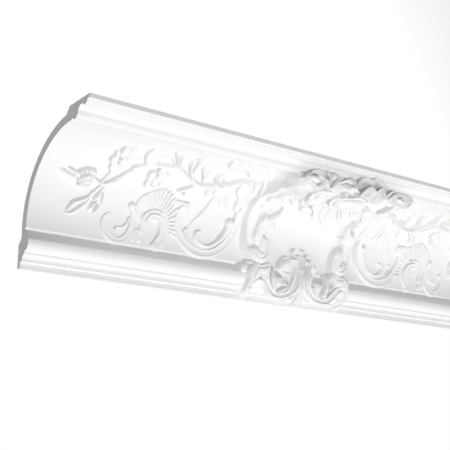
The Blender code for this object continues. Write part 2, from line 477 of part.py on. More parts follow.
def draw_crest(relief):
    """Crest over the cartouche: curled leaves, shell, lens bud, peony and hanging flowers."""
    # Curled leaves on the left
    relief.petal([(328, 31), (331, 24), (339, 18), (349, 14), (358, 14), (365, 17), (367, 24),
                 (368, 31), (365, 38), (358, 42), (348, 40), (338, 36), (332, 35)], 2, dish=0.35)
    relief.dome((345, 28), (9, 5), 4)
    relief.stroke([(337, 22), (334, 28), (338, 34)], [2], [3])
    relief.petal([(364, 17), (370, 13), (372, 17), (378, 14), (385, 14), (390, 18), (392, 23),
                 (386, 31), (381, 38), (375, 40), (368, 35), (364, 27)], 2.5, dish=0.15)
    relief.petal([(379, 40), (383, 33), (392, 24), (402, 19), (413, 14), (420, 16), (425, 21),
                 (424, 30), (413, 32), (409, 36), (405, 43), (394, 45), (383, 44)], 1.5, dish=0.2)
    relief.stroke([(411, 45), (411, 35), (417, 30), (425, 31)], [2, 2, 1.5, 1.5], [1])
    # Shell: its dished back and the scalloped petal in front of it
    relief.petal([(425, 31), (427, 21), (435, 11), (444, 6), (452, 5), (460, 7), (466, 2), (473, 0),
                 (478, 5), (483, 8), (489, 13), (492, 20), (489, 31), (482, 40), (458, 40),
                 (437, 38)], -1, dish=0.55)
    relief.petal([(428, 39), (432, 33), (437, 28), (444, 23), (450, 20), (456, 23), (460, 26),
                 (466, 22), (472, 18), (477, 20), (479, 26), (478, 33), (473, 40), (467, 46),
                 (452, 43), (441, 39)], 4, dish=0.3)
    relief.petal([(448, 46), (457, 41), (471, 38), (485, 32), (492, 35), (488, 43), (482, 52),
                 (478, 61), (460, 54)], 1, dish=0.25)
    relief.stroke([(480, 35), (486, 26), (496, 19)], [2.5, 3, 2.5], [1])
    relief.stroke([(486, 39), (491, 31), (501, 23)], [3, 3.5, 2.5], [1])
    # Lens bud in its socket
    relief.petal([(403, 76), (395, 64), (397, 53), (409, 47), (425, 43), (440, 41), (451, 46),
                 (457, 57), (456, 70), (442, 77), (426, 80), (411, 79)], 0, dish=0.2)
    relief.petal([(404, 69), (402, 61), (405, 54), (414, 49), (426, 46), (437, 45), (445, 46),
                 (445, 52), (443, 62), (436, 68), (425, 72), (414, 72)], 2, dish=-0.45)
    # Broad pleated petal below
    relief.petal([(388, 93), (391, 85), (400, 78), (420, 83), (444, 84), (460, 74), (474, 79),
                 (486, 96), (486, 105), (479, 106), (470, 101), (464, 103), (459, 109), (462, 120),
                 (450, 120), (448, 130), (444, 138), (433, 135), (420, 128), (411, 119),
                 (403, 108)], -5, dish=0.15)
    # Long leaf on the left, small leaves and buds
    relief.petal([(370, 81), (363, 70), (361, 58), (368, 47), (382, 45), (394, 44), (395, 54),
                 (393, 65), (392, 75), (390, 86), (379, 84)], -4, dish=0.2)
    relief.dome((381, 100), (7, 7), -10)
    relief.dome((397, 117), (8.5, 8), -10)
    relief.dome((406, 117), (7.5, 7), -9)
    relief.dome((384, 92), (7, 7), -8)
    # Flowers and buds on the right
    relief.petal([(479, 87), (474, 78), (476, 72), (481, 66), (491, 68), (502, 78), (510, 90),
                 (512, 100), (516, 111), (510, 114), (497, 106), (486, 95)], -3, dish=0.3)
    relief.dome((486, 82), (8, 7), -1)
    relief.petal([(492, 32), (494, 24), (505, 19), (518, 18), (530, 19), (539, 24), (536, 33),
                 (531, 40), (523, 44), (511, 42), (499, 40)], 0, dish=0.3)
    relief.dome((513, 30), (7, 4), 2.5)


def draw_crest_mass(relief):
    """What carries the crest, behind its leaves and flowers, and the bridge from it to the left arm."""
    relief.stroke([(330, 66), (336, 54), (350, 48), (372, 50), (396, 56)], [12, 12, 11, 12, 10],
                  [-9, -6, -3, -2, -3])
    relief.stroke([(350, 38), (400, 40), (440, 34), (486, 40)], [4, 6, 10, 6], [-9])
    relief.stroke([(388, 52), (440, 56), (482, 52)], [9, 20, 14], [-9])
    relief.stroke([(425, 86), (452, 82)], [12], [-11])
    relief.stroke([(492, 40), (514, 48), (526, 66)], [12, 14, 10], [-9, -9, -13])


def surface(ground, x, across, height, root=None):
    """World points at a height off a ground surface, in metres, with the origin at the wall mount."""
    y, z, ny, nz = ground(across)
    if root is not None:
        root_y, root_z = (np.interp(across, root[:, 0], root[:, i]) for i in (1, 2))
        points = np.stack([x, root_y, root_z], -1)
    else:
        points = np.stack([x, y + height * ny, z + height * nz], -1)
    return (points + (-HALF, 0, ORIGIN_DROP)) * MM


def closed_relief(name, top, bottom, raised):
    """Closed mesh between two grids of points, over the cells whose corner heights are raised."""
    cells = raised[:-1, :-1] | raised[1:, :-1] | raised[:-1, 1:] | raised[1:, 1:]
    cells = np.pad(cells[1:-1, 1:-1], 1)
    while True:
        # Cells that touch at one corner only are joined by a third
        down = cells[:-1, :-1] & cells[1:, 1:] & ~cells[1:, :-1] & ~cells[:-1, 1:]
        up = ~cells[:-1, :-1] & ~cells[1:, 1:] & cells[1:, :-1] & cells[:-1, 1:]
        if not (down | up).any():
            break
        cells[1:, :-1] |= down
        cells[:-1, :-1] |= up
    columns, rows = top.shape[:2]
    index = np.arange(columns * rows).reshape(columns, rows)
    under = columns * rows
    a, b, c, d = index[:-1, :-1], index[1:, :-1], index[1:, 1:], index[:-1, 1:]
    faces = [np.stack([q[cells] for q in (a, b, c, d)], -1)]
    faces.append(np.stack([q[cells] + under for q in (d, c, b, a)], -1))
    padded = np.pad(cells, 1)
    for p, q, shift in ((a, b, (0, -1)), (b, c, (1, 0)), (c, d, (0, 1)), (d, a, (-1, 0))):
        i, j = 1 + shift[0], 1 + shift[1]
        beside = padded[i:i + cells.shape[0], j:j + cells.shape[1]]
        rim = cells & ~beside
        faces.append(np.stack([q[rim], p[rim], p[rim] + under, q[rim] + under], -1))
    points = np.concatenate([top.reshape(-1, 3), bottom.reshape(-1, 3)])
    faces = np.concatenate(faces)
    used, packed = np.unique(faces, return_inverse=True)
    mesh = bpy.data.meshes.new(name)
    mesh.from_pydata(points[used].tolist(), [], packed.reshape(-1, 4).tolist())
    bm = bmesh.new()
    bm.from_mesh(mesh)
    bmesh.ops.triangulate(bm, faces=bm.faces)
    bmesh.ops.recalc_face_normals(bm, faces=bm.faces)
    bm.to_mesh(mesh)
    bm.free()
    return bpy.data.objects.new(name, mesh)


def cove_relief():
    """Relief of the whole length: the left half is drawn, and the right half mirrors it."""
    xs = np.linspace(0, HALF, COLUMNS + 1)
    ys = np.linspace(RELIEF_TOP, RELIEF_BOTTOM, ROWS + 1)
    relief = Relief(xs, ys, cove_floor(ys), LEAF_SLOPE)
    relief.slenderness = SPRAY_SLENDERNESS
    draw_spray(relief)
    draw_roses(relief)
    relief.scale_heights(SPRAY_BOLDNESS)
    relief.slenderness = 1.0
    draw_scrolls(relief)
    draw_shell_frill(relief)
    draw_broken_branch(relief)
    relief.scale_heights(SCROLL_FLATNESS)
    relief.slope = EDGE_SLOPE
    for draw in (draw_acanthus, draw_frame, draw_volute, draw_free_leaves, draw_foot, draw_palmette):
        draw(relief)
    height = np.vstack([relief.height, relief.height[-2::-1]])
    x = np.vstack([relief.x, LENGTH - relief.x[-2::-1]])
    y = np.vstack([relief.y, relief.y[-2::-1]])
    floor = cove_floor(y)
    raised = height > floor + SHOWS
    top = surface(cove_ground, x, y, height)
    bottom = surface(cove_ground, x, y, floor - ROOT_DEPTH)
    return closed_relief("cove_relief", top, bottom, raised)


def crest_relief():
    """The crest, a solid mass from its carved face back into the moulding."""
    xs = np.arange(CREST_LEFT, CREST_RIGHT, CREST_STEP)
    ws = np.linspace(0, CREST_FOOT, int(CREST_FOOT / CREST_STEP))
    relief = Relief(xs, ws, CREST_FLOOR, CREST_SLOPE, base=CREST_FLOOR)
    draw_crest_mass(relief)
    draw_crest(relief)
    raised = relief.height > CREST_FLOOR + SHOWS
    top = surface(crest_ground, relief.x, relief.y, relief.height)
    bottom = surface(crest_ground, relief.x, relief.y, 0, np.array(CREST_ROOT, float))
    return closed_relief("crest_relief", top, bottom, raised)


def moulding_body(collection):
    """The plain moulding, its section filled and extruded along the length."""
    curve = bpy.data.curves.new("section", "CURVE")
    curve.dimensions = "2D"
    curve.fill_mode = "BOTH"
    curve.extrude = HALF * MM
    spline = curve.splines.new("POLY")
    outline = section()
    spline.points.add(len(outline) - 1)
    for point, (y, z) in zip(spline.points, outline):
        point.co = (y * MM, (z + ORIGIN_DROP) * MM, 0, 1)
    spline.use_cyclic_u = True
    guide = bpy.data.objects.new("section", curve)
    guide.rotation_euler = (math.pi / 2, 0, math.pi / 2)
    collection.objects.link(guide)
    bpy.context.view_layer.update()
    depsgraph = bpy.context.evaluated_depsgraph_get()
    mesh = bpy.data.meshes.new_from_object(guide.evaluated_get(depsgraph))
    mesh.transform(guide.matrix_world)
    bm = bmesh.new()
    bm.from_mesh(mesh)
    bmesh.ops.remove_doubles(bm, verts=bm.verts, dist=1e-6)
    bmesh.ops.recalc_face_normals(bm, faces=bm.faces)
    bm.to_mesh(mesh)
    bm.free()
    bpy.data.objects.remove(guide)
    body = bpy.data.objects.new("cornice_moulding", mesh)
    collection.objects.link(body)
    return body


def white_material():
    material = bpy.data.materials.new("primed_white")
    material.use_nodes = True
    shader = material.node_tree.nodes["Principled BSDF"]
    shader.inputs["Base Color"].default_value = WHITE
    shader.inputs["Roughness"].default_value = ROUGHNESS
    shader.inputs["Metallic"].default_value = 0.0
    return material


def build():
    for item in list(bpy.data.objects):
        bpy.data.objects.remove(item, do_unlink=True)
    parts = bpy.data.collections.new("ceiling_cornice_moulding")
    guides = bpy.data.collections.new("relief_guides")
    for collection in (parts, guides):
        bpy.context.scene.collection.children.link(collection)
    body = moulding_body(parts)
    for ornament, share in ((cove_relief(), COVE_FACES_KEPT), (crest_relief(), CREST_FACES_KEPT)):
        ornament.hide_render = True
        ornament.display_type = "WIRE"
        guides.objects.link(ornament)
        thin = ornament.modifiers.new("fewer_faces", "DECIMATE")
        thin.ratio = share / len(ornament.data.polygons)
        union = body.modifiers.new("join_" + ornament.name, "BOOLEAN")
        union.operation = "UNION"
        union.solver = "EXACT"
        union.object = ornament
    body.data.materials.append(white_material())


build()
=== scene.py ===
"""Looks of the ceiling cornice moulding: fine carving on the solid's form, finish, light and camera."""

import math

import bmesh
import bpy
import numpy as np
from mathutils import Matrix, Vector


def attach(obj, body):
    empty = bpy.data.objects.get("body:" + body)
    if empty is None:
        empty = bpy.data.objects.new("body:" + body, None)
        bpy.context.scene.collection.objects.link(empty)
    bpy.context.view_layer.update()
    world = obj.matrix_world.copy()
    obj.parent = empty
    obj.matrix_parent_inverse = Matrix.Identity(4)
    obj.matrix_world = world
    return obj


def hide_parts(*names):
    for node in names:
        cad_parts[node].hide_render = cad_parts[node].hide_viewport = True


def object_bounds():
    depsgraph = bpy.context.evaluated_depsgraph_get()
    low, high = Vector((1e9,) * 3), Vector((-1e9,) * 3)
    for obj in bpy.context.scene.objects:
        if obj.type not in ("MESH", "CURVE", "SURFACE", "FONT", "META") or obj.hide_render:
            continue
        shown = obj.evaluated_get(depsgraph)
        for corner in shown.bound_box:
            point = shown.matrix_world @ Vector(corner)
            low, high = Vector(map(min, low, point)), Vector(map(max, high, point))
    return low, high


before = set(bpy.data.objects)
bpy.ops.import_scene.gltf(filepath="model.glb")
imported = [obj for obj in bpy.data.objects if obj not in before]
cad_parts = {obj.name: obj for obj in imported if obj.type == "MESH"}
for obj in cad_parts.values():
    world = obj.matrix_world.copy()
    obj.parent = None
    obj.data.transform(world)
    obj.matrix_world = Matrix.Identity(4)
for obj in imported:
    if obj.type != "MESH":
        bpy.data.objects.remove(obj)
cad_low, cad_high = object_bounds()

# Sizes are in millimetres, with Z at 0 on top of the moulding and negative below
MM = 0.001
LENGTH = 870.0
HALF = LENGTH / 2
TOTAL_HEIGHT = 177.0
PROJECTION = 172.5
ORIGIN_DROP = 167.0
COVE_Y = -130.0
COVE_Z = -126.0
COVE_DEPTH = 111.0
COVE_RISE = 106.2
COVE_RADIUS = (COVE_DEPTH + COVE_RISE) / 2
COVE_LENGTH = COVE_RADIUS * math.pi / 2
WALL_THICKNESS = 12.0

# How the relief is carved: its grid, what shows of it, its edges, and how bold each part is
GRID = 0.8
CELLS_AT_ONCE = 20000
MARGIN = 8.0
SHOWS = 0.3
ROOT_DEPTH = 1.5
THIN_EDGE = 0.1
FAR_BELOW = -60.0
EDGE_SLOPE = 3.0
LEAF_SLOPE = 5.0
CREST_SLOPE = 5.0
SOFTNESS = 0.5
SPRAY_BOLDNESS = 1.9
SPRAY_SLENDERNESS = 0.88
SCROLL_FLATNESS = 0.72
COVE_PATCH = (-40.0, 228.0)
BRANCH_LEFT = 220.0
FRAME_LEFT = 320.0
FACES_KEPT = 185000
SHARP_ANGLE = 40.0

# The crest's section from its front round to its underside, and where it is rooted, as (w, Y, Z)
CREST_FRONT = ((-169.0, -8.0), (-172.0, -31.0))
CREST_ROUND = 21.0
CREST_UNDERSIDE = math.radians(258.5)
CREST_LEFT = 300.0
CREST_RIGHT = 570.0
CREST_FOOT = 142.0
CREST_FLOOR = -18.0
CREST_THICKNESS = 8.0
CREST_ROOT = ((0, -148, -3), (23, -140, -6), (56, -130, -11), (80, -118, -13), (105, -98, -18.5),
              (142, -66, -32))

# Each light's name, place in metres, size, power and whether it casts a shadow
LIGHTS = (("down_front", (0.00, -1.18, -1.83), 1.5, 27, False),
          ("front_down", (0.00, -1.99, -1.02), 1.5, 15, False),
          ("left_front", (-1.34, -1.42, -1.04), 2.5, 12, True),
          ("left_down", (-1.52, -0.51, -1.44), 1.5, 5, True),
          ("right_down", (1.52, -0.51, -1.44), 1.5, 6, True))
LIT_SPOT = (0, -0.08, 0.08)
DIM_WORLD = 0.05
FLOOR_DROP = 2.5
FLOOR_REACH = 8.0


def arc(centre, radii, start, end, count):
    """Points on an ellipse about centre, from one angle to another, in degrees."""
    angles = np.radians(np.linspace(start, end, count))
    return [(centre[0] + radii[0] * math.cos(a), centre[1] + radii[1] * math.sin(a)) for a in angles]


def section():
    """Outline of the moulding as (Y, Z), down the face from the top and back up behind."""
    cove = (COVE_Y, COVE_Z)
    behind = (COVE_DEPTH + WALL_THICKNESS, COVE_RISE + WALL_THICKNESS - 0.5)
    fascia = [(-PROJECTION, 0), (-172.2, -5.2), (-169.3, -5.2), (-167.0, -5.4)]
    bead = arc((-160.4, -5.4), (6.2, 5.3), 180, 270, 10) + [(-157.5, -9.5), (-155.2, -6.9)]
    cyma = arc((-153.1, -14.0), (8.1, 6.8), 90, 0, 10) + arc((-138.5, -14.0), (6.5, 7.0), 180, 270, 10)[1:]
    quirk = [(-135.3, -21.0), (-133.2, -20.3), (-131.6, -18.1), (-130.8, -18.8)]
    hollow = arc(cove, (COVE_DEPTH, COVE_RISE), 90, 0, 90)
    recess = [(-19.0, -127.2), (-17.2, -127.6), (-16.6, -129.8), (-27.4, -142.4), (-27.8, -144.0)]
    ovolo = arc((-19.2, -147.0), (8.6, 10.2), 180, 270, 16)
    steps = [(-18.1, -158.3), (-18.0, -160.8), (-16.2, -161.7), (-13.7, -162.5), (-12.3, -164.2),
             (-11.8, -166.0), (-11.6, -169.2), (-6.9, -170.1), (-6.75, -TOTAL_HEIGHT)]
    wall = [(0, -TOTAL_HEIGHT), (0, -158.6), (-1.5, -157.0), (0, -155.4), (0, -145.5),
            (-2.4, -144.7), (-6.0, -141.2), (-7.8, -137.0)]
    back = arc(cove, behind, 0, 83, 40)
    ceiling = [(-118.0, -5.9), (-121.0, -2.5), (-123.7, 0), (-133.4, 0), (-135.0, -1.5), (-136.6, 0)]
    return fascia + bead + cyma + quirk + hollow + recess + ovolo + steps + wall + back + ceiling


def cove_ground(s):
    """Point (Y, Z) and outward normal at arc length s down the cove, run on straight past its ends."""
    angle = np.clip(math.pi / 2 - s / COVE_RADIUS, 0, None)
    y = COVE_Y + COVE_DEPTH * np.cos(angle)
    z = COVE_Z + COVE_RISE * np.sin(angle) - np.clip(s - COVE_LENGTH, 0, None)
    ny, nz = -np.cos(angle) / COVE_DEPTH, -np.sin(angle) / COVE_RISE
    size = np.hypot(ny, nz)
    y = np.where(s < 0, COVE_Y + s, y)
    return y, z, ny / size, nz / size


def cove_floor(s):
    """Height just under the moulding's face, where the relief has nothing to show."""
    return np.interp(s, (-3, 0, 165, 172, 190, 198), (-13, -3.5, -3.5, -5.5, -5.5, -14.0))


def crest_ground(w):
    """Point and normal down the crest's section: its front, a round corner, then the underside."""
    (y0, z0), (y1, z1) = CREST_FRONT
    front = math.hypot(y1 - y0, z1 - z0)
    lean = math.pi - math.atan2(y0 - y1, z0 - z1)
    turn = CREST_UNDERSIDE - lean
    angle = lean + np.clip((w - front) / CREST_ROUND, 0, turn)
    ny, nz = np.cos(angle), np.sin(angle)
    beyond = np.clip(w - front - CREST_ROUND * turn, 0, None) + np.clip(w - front, None, 0)
    y = y1 + CREST_ROUND * (ny - math.cos(lean)) - nz * beyond
    z = z1 + CREST_ROUND * (nz - math.sin(lean)) + ny * beyond
    return y, z, ny, nz


def through(rows, count):
    """Smooth samples through the given rows of numbers, from the first to the last."""
    rows = np.asarray(rows, float)
    rows = rows.reshape(len(rows), -1)
    if len(rows) == 1:
        return np.repeat(rows, count, 0)
    ends = np.vstack([2 * rows[0] - rows[1], rows, 2 * rows[-1] - rows[-2]])
    at = np.linspace(0, len(rows) - 1, count)
    i = np.minimum(at.astype(int), len(rows) - 2)
    t = (at - i)[:, None]
    a, b, c, d = ends[i], ends[i + 1], ends[i + 2], ends[i + 3]
    return 0.5 * (2 * b + (c - a) * t + (2 * a - 5 * b + 4 * c - d) * t**2 + (3 * b - a - 3 * c + d) * t**3)


def swell(v):
    """Half a circle over a band, v running from -1 at one edge to 1 at the other."""
    return np.sqrt(np.clip(1 - v * v, 0, 1))


def round_section(v, u, half):
    """A rounded band; sections give the height at v across and u along, as a share of the rise."""
    return 0.3 + 0.7 * swell(v)


def scroll_section(v, u, half):
    """A band with two raised rims and a hollow between them."""
    rim = np.exp(-((np.abs(v) - 0.8) ** 2) / 0.018)
    return 0.72 + 0.1 * v * v + 0.2 * rim - 0.35 * np.clip(np.abs(v) - 0.9, 0, None) / 0.1


def arm_section(v, u, half):
    """A broad hollow between a sharp outer ridge and a rolled inner edge, with a fillet by the ridge."""
    ridge = np.exp(-((np.abs(v) - 0.85) ** 2) / 0.012)
    fillet = np.exp(-((np.abs(v) - 0.5) ** 2) / 0.004)
    return 0.8 + 0.1 * v * v + 0.12 * ridge - 0.05 * fillet - 0.3 * np.clip(np.abs(v) - 0.9, 0, None) / 0.1


def bridge_section(v, u, half):
    """A slanted front, its outer edge lower than its inner one, between two thin ridges."""
    ridge = np.exp(-((np.abs(v) - 0.88) ** 2) / 0.008)
    return 0.66 + 0.2 * v + 0.09 * ridge - 0.1 * (1 - v * v)


def leaf_section(v, u, half):
    """Two slopes down from a keel, with veins slanting off it."""
    vein = np.cos((u - 1.1 * np.abs(v) * half) * 2 * math.pi / 4.2)
    return 0.2 + 0.8 * (1 - np.abs(v)) ** 0.9 + 0.05 * vein * (1 - v * v)


def petal_section(v, u, half):
    """A cupped petal, its edges turned up."""
    return 0.74 + 0.26 * np.abs(v) ** 2.2 - 0.3 * np.clip(np.abs(v) - 0.88, 0, None) / 0.12


def flute_section(v, u, half):
    """A single convex flute."""
    return 0.35 + 0.65 * swell(v) ** 0.8


class Relief:
    """Height over a grid of x and distance down the ground surface, built up stroke by stroke."""

    def __init__(self, xs, ys, floor, slope, base=0.0, thickness=None):
        """base is what sections rise from; with a thickness the relief is a free-standing layer."""
        self.x, self.y = np.meshgrid(xs, ys, indexing="ij")
        self.height = np.broadcast_to(floor, self.x.shape).astype(float)
        self.under = np.full(self.x.shape, np.inf)
        self.slope = slope
        self.slenderness = 1.0
        self.base = base
        self.thickness = thickness

    def lay(self, inside, beyond, rise, profile):
        """Raises the cells to a profile, a share of the rise; beyond is how far they lie off its edge."""
        base = self.base if self.thickness is None else rise - self.thickness
        top = base + (rise - base) * profile - np.clip(beyond, 0, None) * self.slope
        self.height[inside] = np.maximum(self.height[inside], top)
        if self.thickness is not None:
            near = beyond < self.thickness / self.slope + 3 * GRID
            under = self.under[inside]
            under[near] = np.minimum(under, base)[near]
            self.under[inside] = under

    def window(self, points, reach):
        """Cells in the box around some points, widened by a reach."""
        low, high = points.min(0) - reach, points.max(0) + reach
        return (self.x > low[0]) & (self.x < high[0]) & (self.y > low[1]) & (self.y < high[1])

    def stroke(self, path, width, height, cut=round_section, lobes=0.0, depth=0.0):
        """A band along a smooth path; half widths and heights are spread evenly along it.

        lobes is how many scallops each edge has and depth how deep they go, as a share of the half width.
        """
        rough = np.asarray(path, float)
        count = max(10, int(np.hypot(*np.diff(rough, axis=0).T).sum() / (0.8 * GRID)))
        line = through(path, count)
        half = np.clip(through(width, count)[:, 0] * self.slenderness, 0.4, None)
        rise = through(height, count)[:, 0]
        along = np.concatenate([[0], np.cumsum(np.hypot(*np.diff(line, axis=0).T))])
        ahead = np.gradient(line, axis=0)
        ahead /= np.maximum(np.hypot(*ahead.T), 1e-9)[:, None]
        inside = self.window(line, half.max() + MARGIN)
        spots = np.stack([self.x[inside], self.y[inside]], -1)
        nearest = np.empty(len(spots), int)
        for start in range(0, len(spots), CELLS_AT_ONCE):
            part = spots[start:start + CELLS_AT_ONCE]
            gap = np.hypot(part[:, 0, None] - line[None, :, 0], part[:, 1, None] - line[None, :, 1])
            nearest[start:start + CELLS_AT_ONCE] = (gap - half[None]).argmin(1)
        offset = spots - line[nearest]
        away = np.hypot(*offset.T)
        side = np.sign(ahead[nearest, 0] * offset[:, 1] - ahead[nearest, 1] * offset[:, 0])
        edge = half[nearest]
        if lobes:
            phase = along[nearest] / along[-1] * lobes + np.where(side > 0, 0.0, 0.35)
            edge = edge * (1 - depth * (1 - np.abs(np.sin(math.pi * phase))) ** 1.5)
        v = side * np.clip(away / edge, 0, 1)
        self.lay(inside, away - edge, rise[nearest], cut(v, along[nearest], edge))

    def dome(self, centre, radii, height, rim=0.4, dish=0.0):
        """A rounded knob, bud or berry, or a cupped petal where dish is more than 0."""
        inside = self.window(np.array([centre], float), max(radii) + MARGIN)
        r = np.hypot((self.x[inside] - centre[0]) / radii[0], (self.y[inside] - centre[1]) / radii[1])
        profile = rim + (1 - rim) * np.sqrt(np.clip(1 - r * r, 0, 1))
        if dish:
            rolled = (1 - rim) * np.clip((r - 0.8) / 0.2, 0, 1) ** 2
            profile = 1 - dish * (1 - np.clip(r / 0.75, 0, 1) ** 2) - rolled
        self.lay(inside, (r - 1) * min(radii), float(height), profile)

    def petal(self, outline, height, dish=0.0, reach=5.0):
        """A broad leaf or petal inside a closed outline, heights given at its points.

        dish sinks the middle below the rim, as a share of the thickness, and a negative dish swells it.
        """
        outline = np.asarray(outline, float)
        heights = np.broadcast_to(np.asarray(height, float), len(outline))
        rows = np.column_stack([outline, heights])
        rows = np.vstack([rows, rows[:1]])
        loop = through(rows, 6 * len(rows))[:-1]
        inside = self.window(loop[:, :2], MARGIN)
        spots = np.stack([self.x[inside], self.y[inside]], -1)
        gap = np.hypot(spots[:, 0, None] - loop[None, :, 0], spots[:, 1, None] - loop[None, :, 1])
        weight = 1 / (gap**2 + 1)
        rise = (weight * loop[None, :, 2]).sum(1) / weight.sum(1)
        following = np.roll(loop, -1, 0)
        above = loop[None, :, 1] > spots[:, 1, None]
        crossed = above != (following[None, :, 1] > spots[:, 1, None])
        run = np.where(loop[:, 1] == following[:, 1], 1, following[:, 1] - loop[:, 1])
        at = loop[:, 0] + (spots[:, 1, None] - loop[None, :, 1]) * (following[:, 0] - loop[:, 0]) / run
        within = (crossed & (spots[:, 0, None] < at)).sum(1) % 2 == 1
        distance = gap.min(1)
        profile = 1 - dish * (1 - np.exp(-((distance / reach) ** 2)))
        profile = np.where(within, profile - 0.25 * np.clip(1 - distance / 1.5, 0, 1) ** 2, 0.75)
        self.lay(inside, np.where(within, -distance, distance), rise, profile)

    def scale_heights(self, share):
        """Raises or lowers what has been carved so far."""
        self.height *= np.where(self.height > 0, share, 1)

    def groove(self, path, half, depth):
        """A fold sunk along a smooth path, fading at its ends."""
        rough = np.asarray(path, float)
        line = through(rough, max(10, int(np.hypot(*np.diff(rough, axis=0).T).sum() / GRID)))
        inside = self.window(line, 3 * half)
        spots = np.stack([self.x[inside], self.y[inside]], -1)
        gap = np.hypot(spots[:, 0, None] - line[None, :, 0], spots[:, 1, None] - line[None, :, 1])
        along = gap.argmin(1) / (len(line) - 1)
        fade = np.clip(5 * np.minimum(along, 1 - along) + 0.3, 0, 1)
        self.height[inside] -= depth * fade * np.exp(-((gap.min(1) / half) ** 2))

    def soften(self, reach):
        """Rounds the carving slightly, as paint and casting do."""
        size = reach / GRID
        span = int(3 * size) + 1
        weights = np.exp(-0.5 * (np.arange(-span, span + 1) / size) ** 2)
        weights /= weights.sum()
        smooth = self.height
        for axis in (0, 1):
            pad = [(span, span) if a == axis else (0, 0) for a in (0, 1)]
            padded = np.pad(smooth, pad, mode="edge")
            count = smooth.shape[axis]
            smooth = sum(w * padded.take(range(i, i + count), axis) for i, w in enumerate(weights))
        self.height = smooth


